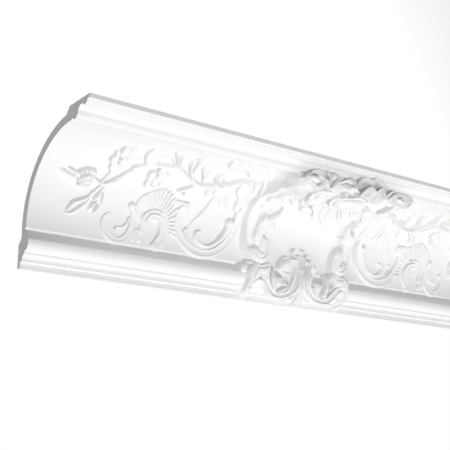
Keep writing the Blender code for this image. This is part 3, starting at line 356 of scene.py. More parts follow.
def draw_spray(relief):
    """Flowering branch along the upper half of the cove."""
    relief.stroke([(27, 87.5), (34, 90.5), (45, 94.5), (56, 91.5)], [1, 4, 4, 2],
                  [2, 4, 4, 3.5], leaf_section)
    relief.stroke([(38, 83.5), (45, 86.5), (54, 89.5)], [1, 2.6, 1.6], [4.5])
    rows = (((55, 85.5), (72, 81.5)), ((57, 95.5), (74, 89.5)), ((59, 102.5), (73, 96.5)))
    for row, (start, end) in enumerate(rows):
        for i in range(4):
            x = start[0] + (end[0] - start[0]) * i / 3
            y = start[1] + (end[1] - start[1]) * i / 3 - 3 * math.sin(math.pi * i / 3)
            relief.dome((x, y), (3.4, 4.2), 6.5 - 0.3 * row, rim=0.2)
    relief.dome((65, 103.5), (3.2, 4), 6, rim=0.2)
    relief.dome((70, 101.5), (3.2, 4), 6, rim=0.2)
    relief.stroke([(75, 90.5), (83, 93.5), (92, 96.5)], [2, 1.5, 1.6], [4])
    relief.stroke([(88, 94.5), (91, 87.5), (95, 77.5), (101, 72.5)], [2, 2.1, 2.7, 3.5], [4])
    relief.stroke([(87, 96.5), (97, 93.5), (103, 87.5), (113, 76.5), (121, 66.5), (129, 59.5)],
                  [2, 2.5, 2.3, 2.3, 2.4, 2.5], [4.5])
    relief.stroke([(90, 98.5), (99, 95.5), (108, 88.5), (116, 78.5)], [1.8], [3.5])
    relief.stroke([(91, 97.5), (85, 105.5), (79, 113.5)], [1.7], [3.5])
    relief.stroke([(82, 112.5), (72, 121.5), (61, 127.5), (55, 134.5), (50, 144.5)],
                  [1.5, 3.2, 4.8, 3.6, 0.8], [3.5, 5, 5, 4, 2], leaf_section, lobes=4, depth=0.25)
    relief.stroke([(80, 116.5), (74, 127.5), (67, 135.5), (59, 142.5), (51, 145.5)],
                  [1.5, 3.7, 4.2, 3.3, 0.8], [3.5, 4.5, 4.5, 3.5, 2], leaf_section, lobes=4, depth=0.25)
    relief.stroke([(98, 96.5), (94, 103.5), (91, 110.5), (90, 118.5)], [1.8], [3.5])
    for path, widths in (([(91, 110.5), (88, 115.5), (86, 120.5)], [1.8, 3.9, 2.4]),
                         ([(91, 121.5), (86, 126.5), (83, 134.5)], [1.8, 4.2, 3.2]),
                         ([(94, 126.5), (92, 131.5), (90, 137.5)], [1.8, 3.2, 2.3]),
                         ([(96, 108.5), (97, 115.5), (98, 124.5)], [1.1, 2.3, 1])):
        relief.stroke(path, widths, [4, 5.5, 4.5], leaf_section)
    relief.stroke([(121, 62.5), (128, 57.5), (141, 52.5), (154, 48.5), (169, 47.5), (181, 46.5),
                  (194, 52.5), (207, 60.5), (218, 65.5), (231, 67.5), (247, 64.5), (262, 62.5),
                  (270, 56.5), (277, 49.5), (287, 43.5), (298, 43.5)],
                  [2.5, 3, 3.4, 3.4, 3.6, 3.5, 3.3, 3.3, 3.6, 3.6, 3.4, 4, 3.6, 3.8, 5, 4],
                  [4.5, 4.5, 4.5, 4.5, 4.5, 4.5, 5, 5, 5, 5, 5, 5, 5.5, 6, 7, 8])
    relief.petal([(126, 24.5), (125, 33.5), (127, 42.5), (132, 49.5), (139, 51.5), (143, 45.5),
                 (141, 34.5), (137, 22.5), (130, 19.5)],
                 [2.5, 3.5, 4.5, 6, 6.5, 6, 4.5, 3, 2], dish=-0.2, reach=3.0)
    relief.petal([(135, 21.5), (139, 34.5), (142, 46.5), (147, 38.5), (148, 28.5), (145, 20.5),
                 (140, 17.5)], [3, 4.5, 6.5, 5, 3.5, 2.5, 2], dish=-0.2, reach=3.0)
    for path, widths in (([(175, 41.5), (166, 35.5), (159, 30.5), (156, 32.5)], [1.2, 1.5, 4.4, 3.9]),
                         ([(180, 42.5), (173, 34.5), (165, 23.5), (161, 16.5)], [1.1, 1.6, 3.1, 2.3]),
                         ([(181, 42.5), (177, 32.5), (175, 23.5), (177, 17.5)], [1.1, 2.7, 4.4, 1.7])):
        relief.stroke(path, widths, [6.5, 6, 4.5, 2.5], leaf_section)
    relief.stroke([(229, 66.5), (218, 62.5), (209, 54.5), (203, 46.5)], [2], [4.5])
    relief.stroke([(206, 53.5), (198, 41.5), (195, 29.5), (197, 23.5)], [1.4, 3.2, 3.7, 1.4],
                  [7, 6.5, 4.5, 2.5], leaf_section)
    relief.stroke([(205, 46.5), (201, 30.5), (201, 18.5), (205, 11.5)], [2, 3.8, 4.7, 1.4],
                  [7, 7, 5, 2.5], leaf_section)
    relief.stroke([(231, 62.5), (227, 55.5), (224, 49.5)], [1.6], [4.5])
    relief.stroke([(223, 47.5), (219, 36.5), (222, 27.5)], [3, 5.5, 3], [7, 5, 2.5], leaf_section)
    relief.stroke([(224, 48.5), (226, 36.5), (232, 24.5)], [3.5, 7, 3], [8, 6.5, 3], leaf_section)
    relief.stroke([(260, 61.5), (249, 54.5), (248, 45.5), (253, 37.5)], [3.7, 4.2, 4.3, 1.1],
                  [7, 7, 5, 2.5], leaf_section)
    relief.stroke([(270, 58.5), (262, 53.5), (257, 49.5)], [2.9, 2.4, 1.1], [5.5, 6, 5])
    relief.stroke([(252, 66.5), (247, 73.5), (247, 83.5)], [6, 4.6, 1.1], [5, 5, 3.5], leaf_section)
    relief.stroke([(260, 65.5), (258, 70.5), (257, 77.5)], [4, 2.8, 1], [5, 4.5, 3.5])
    relief.stroke([(224, 69.5), (213, 77.5), (204, 83.5)], [3.6, 3, 3.4], [4.5])
    relief.stroke([(219, 75.5), (214, 81.5), (213, 87.5)], [2], [4.5, 4.5, 5])


def draw_roses(relief):
    """Two open roses of cupped petals, each petal higher on its left side than on its right."""
    first = (((95.1, 37.5), (5.5, 10), 7, 4), ((104.6, 37.5), (5.5, 10), 6.5, 4),
             ((88.6, 45), (3.5, 5), 6, 4), ((89.1, 56), (5.5, 6.5), 6.5, 4),
             ((109.1, 53.5), (6, 6.5), 6, 3.5), ((95.1, 67.5), (7, 8), 6, 4),
             ((105.6, 63), (6, 6), 6.5, 3.5), ((99.6, 54), (6, 7.5), 9.5, 6.5),
             ((105.6, 41), (3.5, 5), 8, 5))
    second = (((162.6, 55.5), (7, 8.5), 7, 4), ((151.6, 67.5), (5.5, 8), 6.5, 4.5),
              ((151.6, 81.5), (3.5, 7), 6, 4), ((170.6, 66.5), (7, 7.5), 6.5, 4),
              ((161.6, 76.5), (7, 9), 8, 5), ((168.1, 76.5), (3, 5), 8.5, 6), ((162.6, 64.5), (4, 4), 8, 6))
    turns = np.radians(np.arange(0, 360, 30))
    for centre, radii, left, right in first + second:
        ring = np.column_stack([centre[0] + radii[0] * np.cos(turns), centre[1] + radii[1] * np.sin(turns)])
        relief.petal(ring, right + (left - right) * (1 - np.cos(turns) + np.sin(turns)) / 3, dish=0.3,
                     reach=3.0)


def draw_broken_branch(relief):
    """Acanthus that leaves the frame, with the cut twig and the hanging leaves below it."""
    for start, middle, tip in (((316, 69), (308, 54), (302, 40)), ((318, 67), (314, 53), (309, 39)),
                               ((319, 66), (319, 55), (316, 43))):
        relief.stroke([start, middle, tip], [2, 2.7, 3], [11, 10, 8])
    relief.stroke([(299, 43), (298, 48), (304, 60)], [4, 3.7, 3.7], [8, 9, 9])
    relief.stroke([(296, 50), (293, 57), (296, 69)], [5, 4.6, 3], [8, 9, 7], petal_section)
    relief.stroke([(301, 62), (301, 70), (305, 80)], [4.4, 4.6, 3], [8, 9, 7], petal_section)
    relief.stroke([(302, 54), (310, 70), (316, 85), (319, 100)], [4, 5.4, 6, 3.6],
                  [9, 10, 10, 9], leaf_section)
    relief.stroke([(307, 77), (305, 85), (306, 94)], [5, 5.5, 4], [8, 9, 8])
    relief.stroke([(315, 81), (316, 91), (316, 97)], [5.4, 4.8, 3.7], [10, 10, 9])
    relief.stroke([(269, 69), (264, 87), (259, 102), (251, 117)], [3.9, 4.3, 3.9, 3.2], [6, 5.5, 5.5, 5])
    relief.stroke([(251, 117), (244, 123), (240, 132)], [2, 1.3, 1], [4, 3.5, 3])
    relief.stroke([(275, 61), (265, 70), (264, 82)], [3.3, 6.6, 3.4], [6, 8, 5], leaf_section)
    relief.stroke([(284, 55), (280, 66), (281, 78), (285, 90), (292, 98)], [3.5, 4.6, 3.7, 2.8, 1.8],
                  [7, 7, 7, 6, 4], leaf_section)
    relief.stroke([(275, 64), (273, 76), (275, 86), (280, 95)], [2.7, 2.9, 2.6, 1.6], [6.5, 6.5, 6, 4.5])


def draw_acanthus(relief):
    """Broad leaf that springs from the frame and curls forward over the cove's top."""
    relief.petal([(243, 4), (242, 12), (245, 18), (250, 22), (258, 22), (266, 20), (274, 16),
                 (280, 20), (282, 25), (289, 25), (300, 22), (307, 23), (313, 29), (318, 38),
                 (323, 50), (326, 62), (327, 50), (323, 36), (317, 23), (309, 12), (299, 2), (286, -5),
                 (270, -9), (256, -6),
                 (249, 0)], [3, 4, 6, 8, 8.5, 8, 7, 8.5, 10, 10, 10, 10, 10, 10, 10, 9, 8, 7, 5.5, 4, 3,
                 2, 1.5, 1.5, 2], dish=-0.25, reach=4.0)
    relief.groove([(257, -9), (266, 0), (276, 7)], 1.2, 3.0)
    relief.groove([(272, 17), (268, 10)], 1.2, 2.0)
    relief.groove([(254, 19), (250, 10), (252, 2)], 2.0, 1.5)
    relief.groove([(286, 10), (302, 15), (313, 28)], 1.5, 1.5)


def draw_scrolls(relief):
    """The small scroll on the left and the big scroll that rises into the frame."""
    relief.stroke([(115, 138.5), (111, 136.5), (107, 142.5), (107, 152.5), (112, 161.5), (120, 167.5),
                  (130, 169.5), (141, 163.5), (147, 153.5), (150, 142.5), (149, 130.5), (145, 123.5)],
                  [2.3, 2.8, 3.6, 4.2, 4.6, 4.7, 4.4, 4.5, 4.7, 4.9, 4.5, 3.5],
                  [4.5, 5, 5, 5, 5, 5, 5.5, 6, 6.5], scroll_section)
    relief.dome((143, 119.5), (5, 5.8), 7.5)
    relief.stroke([(124, 155.5), (126, 151.5), (134, 150.5), (140, 144.5), (143, 135.5)], [1.4],
                  [6, 6, 6, 6.5])
    relief.stroke([(156, 149.5), (153, 156.5), (153, 164.5)], [1.5, 2.6, 2.9], [4.5, 5, 4.5])
    relief.stroke([(159, 150.5), (161, 157.5), (163, 164.5)], [1.6, 3.1, 3.5], [4.5, 5, 4.5])
    relief.stroke([(202, 103.5), (211, 100.5), (221, 100.5)], [2.4, 3, 2], [4.5, 5, 5])
    relief.dome((224, 107.5), (7, 8), 8)
    relief.stroke([(225, 103.5), (219, 112.5), (218, 125.5), (221, 138.5), (229, 151.5), (240, 161.5),
                  (255, 167.5), (272, 167.5), (289, 160.5), (303, 146.5), (311, 129.5), (314, 111.5),
                  (312, 95.5)], [5.6, 5, 4.8, 4.8, 5.6, 6, 6.4, 6.1, 6.1, 6.1, 5.8, 5.5, 5],
                  [7, 6.5, 6.5, 6.5, 7, 7.5, 8, 8.5, 9, 9.5, 10, 10.5, 11], scroll_section)
    relief.stroke([(259, 135.5), (252, 139.5), (253, 148.5), (260, 154.5), (271, 156.5), (282, 152.5),
                  (293, 142.5), (301, 129.5), (304, 118.5)],
                  [1.9, 2.8, 3.2, 2.9, 2.7, 3, 3.5, 4.4, 4.6], [7, 7.5, 8, 8.5, 9, 9.5, 10, 10.5, 10.5])
    relief.dome((303, 116.5), (6, 7), 11)
    relief.stroke([(233, 139.5), (236, 135.5)], [2.5, 2.4], [6])
    relief.stroke([(233, 140.5), (237, 146.5), (241, 153.5)], [1.9, 1.5, 1.7], [6])


def draw_shell_frill(relief):
    """Rocaille frill: fine flutes between a rim arch and a scalloped edge, over an inner scroll."""
    inner = through([(160.5, 140.5), (159.5, 129.5), (164.5, 121.5), (174.5, 116.5), (186.5, 115.5),
                     (198.5, 120.5), (206.5, 131.5), (210.5, 146.5)], 23)
    outer = through([(152.5, 124.5), (150.5, 114.5), (154.5, 104.5), (164.5, 95.5), (178.5, 87.5),
                     (196.5, 91.5), (210.5, 107.5), (219.5, 132.5), (217.5, 150.5)], 23)
    for start, end in zip(inner, outer):
        middle = 0.5 * (start + end)
        relief.stroke([start, middle, end], [1.5, 1.9, 2.2], [4.2, 5.2, 5], flute_section)
    relief.stroke([(163.5, 153.5), (162.5, 142.5), (163.5, 131.5), (170.5, 122.5), (180.5, 118.5),
                  (191.5, 121.5)], [2.5, 2.3, 2.2, 2.2, 2.1, 1.9], [6.5])
    relief.stroke([(174.5, 142.5), (172.5, 135.5), (176.5, 128.5), (184.5, 127.5), (192.5, 132.5),
                  (196.5, 141.5), (196.5, 153.5), (191.5, 162.5), (188.5, 168.5)],
                  [2.2, 3.3, 4, 4.4, 5, 5.7, 5.9, 6, 5],
                  [5.5, 6.5, 7, 7.5, 8, 8, 7.5, 7, 6.5], scroll_section)
    relief.stroke([(185.5, 167.5), (190.5, 170.5)], [5, 4.6], [6])


def draw_frame(relief):
    """Left arm of the cartouche, and what carries the foot and the palmette."""
    relief.stroke([(341, 27), (340, 39), (337, 52), (335, 66), (335, 84), (337, 105), (340, 128),
                  (345, 148), (354, 163)], [8, 9, 9.5, 10, 10, 10, 10, 10, 9],
                  [20, 18, 14, 11, 9, 9, 12, 15, 18], arm_section)
    relief.dome((341, 76), (4, 4.5), 13)
    relief.stroke([(344, 172), (356, 176), (367, 171)], [6, 7, 4], [17, 18, 17])
    relief.dome((335, 180), (6.5, 8), 14)
    relief.dome((339, 185), (3.5, 4), 18)
    relief.stroke([(435, 160), (435, 190), (435, 214)], [8, 9, 7], [10, 13, 4])


def draw_bridge(relief):
    """The arm's top, which leaves the cove and reaches out to the crest."""
    relief.stroke([(338, 46), (340, 30), (343, 10), (345, -8), (348, -22), (353, -34)],
                  [8, 9, 10, 11, 10, 8], [17, 23, 28, 31, 29, 26], bridge_section)


def draw_volute(relief):
    """Swelling cup at the arm's foot, with the groove that winds in to its eye."""
    relief.petal([(338, 146), (341, 160), (348, 169), (359, 172), (369, 168), (373, 156), (372, 140),
                 (368, 128), (360, 122), (353, 123), (350, 132), (346, 142)],
                 [14, 16, 18, 19, 19, 19, 18.5, 18, 17, 16, 15, 14], dish=-0.45, reach=4.5)
    relief.groove([(346, 144), (349, 157), (356, 163), (363, 159), (367, 147), (365, 134)], 1.3, 2.6)
    relief.groove([(355, 127), (352, 138), (355, 149), (361, 152)], 1.3, 3.2)


def draw_free_leaves(relief):
    """Leaf that springs from the volute, and the knobs and leaves along the arm's inner edge."""
    relief.petal([(353, 144), (346, 137), (342, 128), (342, 113), (342, 97), (346, 88), (348, 84),
                 (353, 87), (360, 81), (365, 73), (366, 63), (370, 76), (367, 87), (367, 95),
                 (372, 102), (367, 107), (360, 109), (356, 117), (355, 128), (356, 138)],
                 [16, 17, 18, 19, 20, 20, 20, 20, 21, 22, 23, 22, 21, 20, 19, 19, 19, 19, 18, 17],
                 dish=-0.6, reach=3.0)
    relief.groove([(353, 137), (352, 120), (354, 108), (361, 94), (368, 82)], 1.2, 2.5)
    relief.groove([(349, 125), (347, 108), (349, 92)], 1.2, 1.6)
    relief.dome((340, 53), (5.5, 6.5), 21)
    relief.stroke([(344, 49), (349, 45), (350, 36)], [5, 6, 5], [21, 22, 23])
    relief.dome((353, 36), (5.5, 9), 24.5)
    relief.stroke([(354, 24), (365, 36), (374, 48)], [6, 5.3, 2.5], [24.5, 24.5, 23.5], leaf_section)


def draw_foot(relief):
    """The frame's foot, a leg and an arch that bridge the recess and end on the steps."""
    relief.petal([(340, 179), (346, 173), (358, 175), (371, 169), (377, 177), (373, 186), (374, 196),
                 (365, 188), (354, 189), (344, 196), (341, 205), (344, 212), (349, 218), (345, 220),
                 (339, 214), (339, 209), (340, 202), (340, 194), (338, 187)],
                 [19, 21, 22, 22, 20, 21, 20, 22, 22, 20, 15, 8, -4, -4, 2, 8, 15, 20, 19], dish=-0.35,
                 reach=3.5)
    relief.stroke([(344, 208), (345, 201), (350, 195), (358, 194), (367, 199), (374, 207), (383, 214),
                  (395, 215), (408, 212), (417, 204), (422, 193), (422, 181), (417, 171)],
                  [3, 3.5, 4, 4.5, 5, 5, 4.6, 4.2, 4.2, 4.4, 4.4, 4, 3.4],
                  [12, 18, 22, 23, 22, 19, 17, 16.5, 17, 18.5, 20, 20, 19], scroll_section)
    relief.stroke([(385, 204), (382, 192), (382, 182), (384, 173)], [5, 3.8, 3, 1.2], [17, 20, 19, 15])
    relief.groove([(352, 178), (347, 188), (344, 200), (342, 212)], 1.2, 3.2)
    relief.groove([(348, 176), (359, 179), (372, 174)], 1.2, 2.4)
    relief.groove([(350, 199), (359, 190), (369, 193)], 1.0, 2.4)


def draw_palmette(relief):
    """Half of the shell at the foot, which the mirror completes."""
    relief.petal([(434, 147), (428, 149), (424, 152), (416, 152), (408, 152), (402, 158), (398, 167),
                 (399, 174), (405, 178), (409, 182), (412, 189), (412, 195), (408, 199), (403, 203),
                 (400, 207), (406, 210), (413, 208), (418, 213), (414, 216), (414, 219), (421, 222),
                 (430, 226), (440, 224), (448, 222), (438, 202), (435, 173)],
                 [20, 19, 19, 18.5, 17.5, 16, 15, 15, 16, 17, 17, 16, 15, 14, 13, 13, 14, 12, 10, 8, 6,
                 4, 4, 4, 18, 23], dish=-0.15, reach=3.0)
    folds = ([(414, 161), (420, 174), (421, 189), (415, 202), (403, 209)],
             [(423, 160), (428, 177), (426, 193), (420, 205), (410, 213)],
             [(409, 169), (415, 178), (417, 190), (412, 199)], [(433, 202), (430, 213), (423, 222)],
             [(436, 203), (437, 215), (435, 225)], [(440, 205), (447, 222)],
             [(429, 200), (423, 209), (417, 217)], [(428, 148), (431, 170)], [(433, 147), (434, 173)],
             [(424, 190), (433, 191)], [(423, 196), (433, 196)], [(432, 175), (433, 188), (432, 202)])
    for path in folds:
        relief.groove(path, 1.1, 3.6)
    relief.groove([(428, 153), (412, 154), (403, 160), (400, 169), (404, 176), (412, 178)], 1.3, 4.0)
    relief.dome((408, 166), (6.5, 9), 20, rim=0.3)
    for path in ([(414, 160), (419, 172), (420, 186), (414, 199), (403, 206)],
                 [(419, 157), (425, 173), (426, 190), (420, 203), (408, 210)],
                 [(425, 154), (430, 173), (431, 190), (426, 205), (415, 214)]):
        relief.stroke(path, [1.2, 1.7, 2, 1.8, 1.4], [20, 22, 22, 18, 13])
    relief.stroke([(414, 185), (415, 192), (410, 197), (406, 195), (407, 191)], [1.4], [15])
    relief.stroke([(430, 150), (424, 148), (421, 143), (423, 138), (428, 138)], [1.3], [17, 16, 15])


def draw_crest(relief):
    """Crest over the cartouche: curled leaves, shell, lens bud, peony and hanging flowers."""
    # Curled leaves on the left
    relief.petal([(328, 31), (331, 24), (339, 18), (349, 14), (358, 14), (365, 17), (367, 24),
                 (368, 31), (365, 38), (358, 42), (348, 40), (338, 36), (332, 35)], 2, dish=0.35)
    relief.dome((345, 28), (9, 5), 4)
    relief.stroke([(337, 22), (334, 28), (338, 34)], [2], [3])
    relief.groove([(354, 24), (359, 27), (358, 32), (350, 36)], 1.4, 4.05)
    relief.petal([(364, 17), (370, 13), (372, 17), (378, 14), (385, 14), (390, 18), (392, 23),
                 (386, 31), (381, 38), (375, 40), (368, 35), (364, 27)], 2.5, dish=0.15)
    relief.groove([(382, 22), (378, 28), (374, 35)], 1.6, 6.75)
    relief.groove([(366, 15), (365, 25)], 1.2, 4.05)
    relief.groove([(370, 19), (368, 26)], 1, 3.375)
    relief.petal([(379, 40), (383, 33), (392, 24), (402, 19), (413, 14), (420, 16), (425, 21),
                 (424, 30), (413, 32), (409, 36), (405, 43), (394, 45), (383, 44)], 1.5, dish=0.2)
    relief.groove([(393, 28), (407, 23), (417, 25)], 1, 2.7)
    relief.groove([(398, 42), (403, 39), (409, 40)], 2.6, 10.8)
    relief.stroke([(411, 45), (411, 35), (417, 30), (425, 31)], [2, 2, 1.5, 1.5], [1])
    # Shell: its dished back and the scalloped petal in front of it
    relief.petal([(425, 31), (427, 21), (435, 11), (444, 6), (452, 5), (460, 7), (466, 2), (473, 0),
                 (478, 5), (483, 8), (489, 13), (492, 20), (489, 31), (482, 40), (458, 40),
                 (437, 38)], -1, dish=0.55)
    relief.petal([(428, 39), (432, 33), (437, 28), (444, 23), (450, 20), (456, 23), (460, 26),
                 (466, 22), (472, 18), (477, 20), (479, 26), (478, 33), (473, 40), (467, 46),
                 (452, 43), (441, 39)], 4, dish=0.3)
    relief.groove([(454, 44), (460, 34), (466, 25)], 1, 2.16)
    relief.petal([(448, 46), (457, 41), (471, 38), (485, 32), (492, 35), (488, 43), (482, 52),
                 (478, 61), (460, 54)], 1, dish=0.25)
    relief.groove([(449, 37), (452, 44)], 1.2, 4.05)
    relief.stroke([(480, 35), (486, 26), (496, 19)], [2.5, 3, 2.5], [1])
    relief.stroke([(486, 39), (491, 31), (501, 23)], [3, 3.5, 2.5], [1])
    # Lens bud in its socket
    relief.petal([(403, 76), (395, 64), (397, 53), (409, 47), (425, 43), (440, 41), (451, 46),
                 (457, 57), (456, 70), (442, 77), (426, 80), (411, 79)], 0, dish=0.2)
    relief.petal([(404, 69), (402, 61), (405, 54), (414, 49), (426, 46), (437, 45), (445, 46),
                 (445, 52), (443, 62), (436, 68), (425, 72), (414, 72)], 2, dish=-0.45)
    # Broad pleated petal below
    relief.petal([(388, 93), (391, 85), (400, 78), (420, 83), (444, 84), (460, 74), (474, 79),
                 (486, 96), (486, 105), (479, 106), (470, 101), (464, 103), (459, 109), (462, 120),
                 (450, 120), (448, 130), (444, 138), (433, 135), (420, 128), (411, 119),
                 (403, 108)], -5, dish=0.15)
    relief.groove([(404, 86), (420, 122)], 2.2, 2.6)
    relief.groove([(417, 88), (438, 130)], 2.2, 2.6)
    relief.groove([(430, 86), (458, 118)], 1.2, 3.4)
    relief.groove([(437, 87), (458, 111)], 1.2, 3.375)
    relief.groove([(447, 79), (467, 100)], 1.2, 3.375)
    relief.groove([(452, 77), (470, 95)], 1, 2.7)
    relief.groove([(414, 119), (424, 121), (444, 139)], 1.4, 3.375)
    # Long leaf on the left, small leaves and buds
    relief.petal([(370, 81), (363, 70), (361, 58), (368, 47), (382, 45), (394, 44), (395, 54),
                 (393, 65), (392, 75), (390, 86), (379, 84)], -4, dish=0.2)
    relief.groove([(378, 79), (373, 63), (378, 51)], 1.4, 4.05)
    relief.groove([(384, 68), (388, 60), (394, 54)], 2, 6.075)
    relief.dome((381, 100), (7, 7), -10)
    relief.dome((397, 117), (8.5, 8), -10)
    relief.dome((406, 117), (7.5, 7), -9)
    relief.dome((384, 92), (7, 7), -8)
    # Flowers and buds on the right
    relief.petal([(479, 87), (474, 78), (476, 72), (481, 66), (491, 68), (502, 78), (510, 90),
                 (512, 100), (516, 111), (510, 114), (497, 106), (486, 95)], -3, dish=0.3)
    relief.dome((486, 82), (8, 7), -1)
    relief.groove([(494, 101), (500, 97)], 1, 3.375)
    relief.petal([(492, 32), (494, 24), (505, 19), (518, 18), (530, 19), (539, 24), (536, 33),
                 (531, 40), (523, 44), (511, 42), (499, 40)], 0, dish=0.3)
    relief.dome((513, 30), (7, 4), 2.5)
    relief.groove([(512, 31), (519, 27)], 1, 2.7)
    relief.groove([(529, 36), (535, 30)], 1, 2.7)


def draw_crest_mass(relief):
    """What carries the crest, behind its leaves and flowers."""
    relief.stroke([(350, 38), (400, 40), (440, 34), (486, 40)], [4, 6, 10, 6], [-9])
    relief.stroke([(388, 52), (440, 56), (482, 52)], [9, 20, 14], [-9])
    relief.stroke([(425, 86), (452, 82)], [12], [-11])
    relief.stroke([(492, 40), (514, 48), (526, 66)], [12, 14, 10], [-9, -9, -13])


def surface(ground, x, across, height, root=None):
    """World points in metres at a height off a ground surface, or along a root line where one is given."""
    y, z, ny, nz = ground(across)
    if root is not None:
        root_y, root_z = (np.interp(across, root[:, 0], root[:, i]) for i in (1, 2))
        points = np.stack([x, root_y, root_z], -1)
    else:
        points = np.stack([x, y + height * ny, z + height * nz], -1)
    return (points + (-HALF, 0, ORIGIN_DROP)) * MM


def free_layer(relief, name, ground):
    """Closed mesh of a layer that stands free, drawn out thin at its edges."""
    raised = relief.height > relief.under + SHOWS
    under = np.where(np.isfinite(relief.under), relief.under, relief.height - THIN_EDGE)
    over = np.where(raised, relief.height, under + THIN_EDGE)
    return closed_relief(name, surface(ground, relief.x, relief.y, over),
                         surface(ground, relief.x, relief.y, under), raised)


def closed_relief(name, top, bottom, raised):
    """Closed mesh between two grids of points, over the cells whose corner heights are raised."""
    cells = raised[:-1, :-1] | raised[1:, :-1] | raised[:-1, 1:] | raised[1:, 1:]
    cells = np.pad(cells[1:-1, 1:-1], 1)
    while True:
        # Cells that touch at one corner only are joined by a third
        down = cells[:-1, :-1] & cells[1:, 1:] & ~cells[1:, :-1] & ~cells[:-1, 1:]
        up = ~cells[:-1, :-1] & ~cells[1:, 1:] & cells[1:, :-1] & cells[:-1, 1:]
        if not (down | up).any():
            break
        cells[1:, :-1] |= down
        cells[:-1, :-1] |= up
    columns, rows = top.shape[:2]
    index = np.arange(columns * rows).reshape(columns, rows)
    under = columns * rows
    a, b, c, d = index[:-1, :-1], index[1:, :-1], index[1:, 1:], index[:-1, 1:]
    faces = [np.stack([q[cells] for q in (a, b, c, d)], -1)]
    faces.append(np.stack([q[cells] + under for q in (d, c, b, a)], -1))
    padded = np.pad(cells, 1)
    for p, q, shift in ((a, b, (0, -1)), (b, c, (1, 0)), (c, d, (0, 1)), (d, a, (-1, 0))):
        i, j = 1 + shift[0], 1 + shift[1]
        beside = padded[i:i + cells.shape[0], j:j + cells.shape[1]]
        rim = cells & ~beside
        faces.append(np.stack([q[rim], p[rim], p[rim] + under, q[rim] + under], -1))
    points = np.concatenate([top.reshape(-1, 3), bottom.reshape(-1, 3)])
    faces = np.concatenate(faces)
    used, packed = np.unique(faces, return_inverse=True)
    mesh = bpy.data.meshes.new(name)
    mesh.from_pydata(points[used].tolist(), [], packed.reshape(-1, 4).tolist())
    bm = bmesh.new()
    bm.from_mesh(mesh)
    bmesh.ops.triangulate(bm, faces=bm.faces)
    bmesh.ops.recalc_face_normals(bm, faces=bm.faces)
    bm.to_mesh(mesh)
    bm.free()
    return bpy.data.objects.new(name, mesh)


def mirrored(relief):
    """Completes a relief of the left half with its mirror image."""
    relief.height = np.vstack([relief.height, relief.height[-2::-1]])
    relief.under = np.vstack([relief.under, relief.under[-2::-1]])
    relief.x = np.vstack([relief.x, LENGTH - relief.x[-2::-1]])
    relief.y = np.vstack([relief.y, relief.y[-2::-1]])
    return relief


def half_cove(start, **options):
    """Empty relief over the cove, from a place left of the middle up to the middle."""
    xs = np.linspace(start, HALF, int((HALF - start) / GRID) + 1)
    ys = np.arange(*COVE_PATCH, GRID)
    return Relief(xs, ys, cove_floor(ys), EDGE_SLOPE, **options)


def cove_relief():
    """Relief that lies on the cove, over the whole length."""
    relief = half_cove(0)
    relief.slope = LEAF_SLOPE
    relief.slenderness = SPRAY_SLENDERNESS
    draw_spray(relief)
    draw_roses(relief)
    relief.scale_heights(SPRAY_BOLDNESS)
    relief.slenderness = 1.0
    draw_scrolls(relief)
    draw_shell_frill(relief)
    draw_broken_branch(relief)
    relief.scale_heights(SCROLL_FLATNESS)
    relief.slope = EDGE_SLOPE
    draw_frame(relief)
    relief.soften(SOFTNESS)
    mirrored(relief)
    floor = cove_floor(relief.y)
    raised = relief.height > floor + SHOWS
    top = surface(cove_ground, relief.x, relief.y, relief.height)
    bottom = surface(cove_ground, relief.x, relief.y, floor - ROOT_DEPTH)
    return closed_relief("cove_relief", top, bottom, raised)


def free_standing(name, draw, thickness, left):
    """One of the layers that stand free of the cove, with its mirror image."""
    relief = half_cove(left, thickness=thickness)
    relief.height[:] = FAR_BELOW
    draw(relief)
    return free_layer(mirrored(relief), name, cove_ground)


def crest_patch(**options):
    """Empty relief over the crest."""
    xs = np.arange(CREST_LEFT, CREST_RIGHT, GRID)
    ws = np.linspace(0, CREST_FOOT, int(CREST_FOOT / GRID))
    return Relief(xs, ws, CREST_FLOOR, CREST_SLOPE, **options)


def crest_mass():
    """The mass behind the crest, from its face back into the moulding."""
    relief = crest_patch(base=CREST_FLOOR)
    draw_crest_mass(relief)
    relief.soften(SOFTNESS)
    raised = relief.height > CREST_FLOOR + SHOWS
    top = surface(crest_ground, relief.x, relief.y, relief.height)
    bottom = surface(crest_ground, relief.x, relief.y, 0, np.array(CREST_ROOT, float))
    return closed_relief("crest_mass", top, bottom, raised)


def crest_openwork():
    """The crest's leaves and flowers."""
    relief = crest_patch(thickness=CREST_THICKNESS)
    relief.height[:] = FAR_BELOW
    draw_crest(relief)
    return free_layer(relief, "crest_openwork", crest_ground)


def plain_moulding():
    """The plain moulding, its section filled and extruded along the length."""
    curve = bpy.data.curves.new("section", "CURVE")
    curve.dimensions = "2D"
    curve.fill_mode = "BOTH"
    curve.extrude = HALF * MM
    spline = curve.splines.new("POLY")
    outline = section()
    spline.points.add(len(outline) - 1)
    for point, (y, z) in zip(spline.points, outline):
        point.co = (y * MM, (z + ORIGIN_DROP) * MM, 0, 1)
    spline.use_cyclic_u = True
    guide = bpy.data.objects.new("section", curve)
    guide.rotation_euler = (math.pi / 2, 0, math.pi / 2)
    bpy.context.scene.collection.objects.link(guide)
    bpy.context.view_layer.update()
    depsgraph = bpy.context.evaluated_depsgraph_get()
    mesh = bpy.data.meshes.new_from_object(guide.evaluated_get(depsgraph))
    mesh.transform(guide.matrix_world)
    bm = bmesh.new()
    bm.from_mesh(mesh)
    bmesh.ops.remove_doubles(bm, verts=bm.verts, dist=1e-6)
    bmesh.ops.recalc_face_normals(bm, faces=bm.faces)
    bm.to_mesh(mesh)
    bm.free()
    bpy.data.objects.remove(guide)
    body = bpy.data.objects.new("carved_cornice", mesh)
    bpy.context.scene.collection.objects.link(body)
    return body


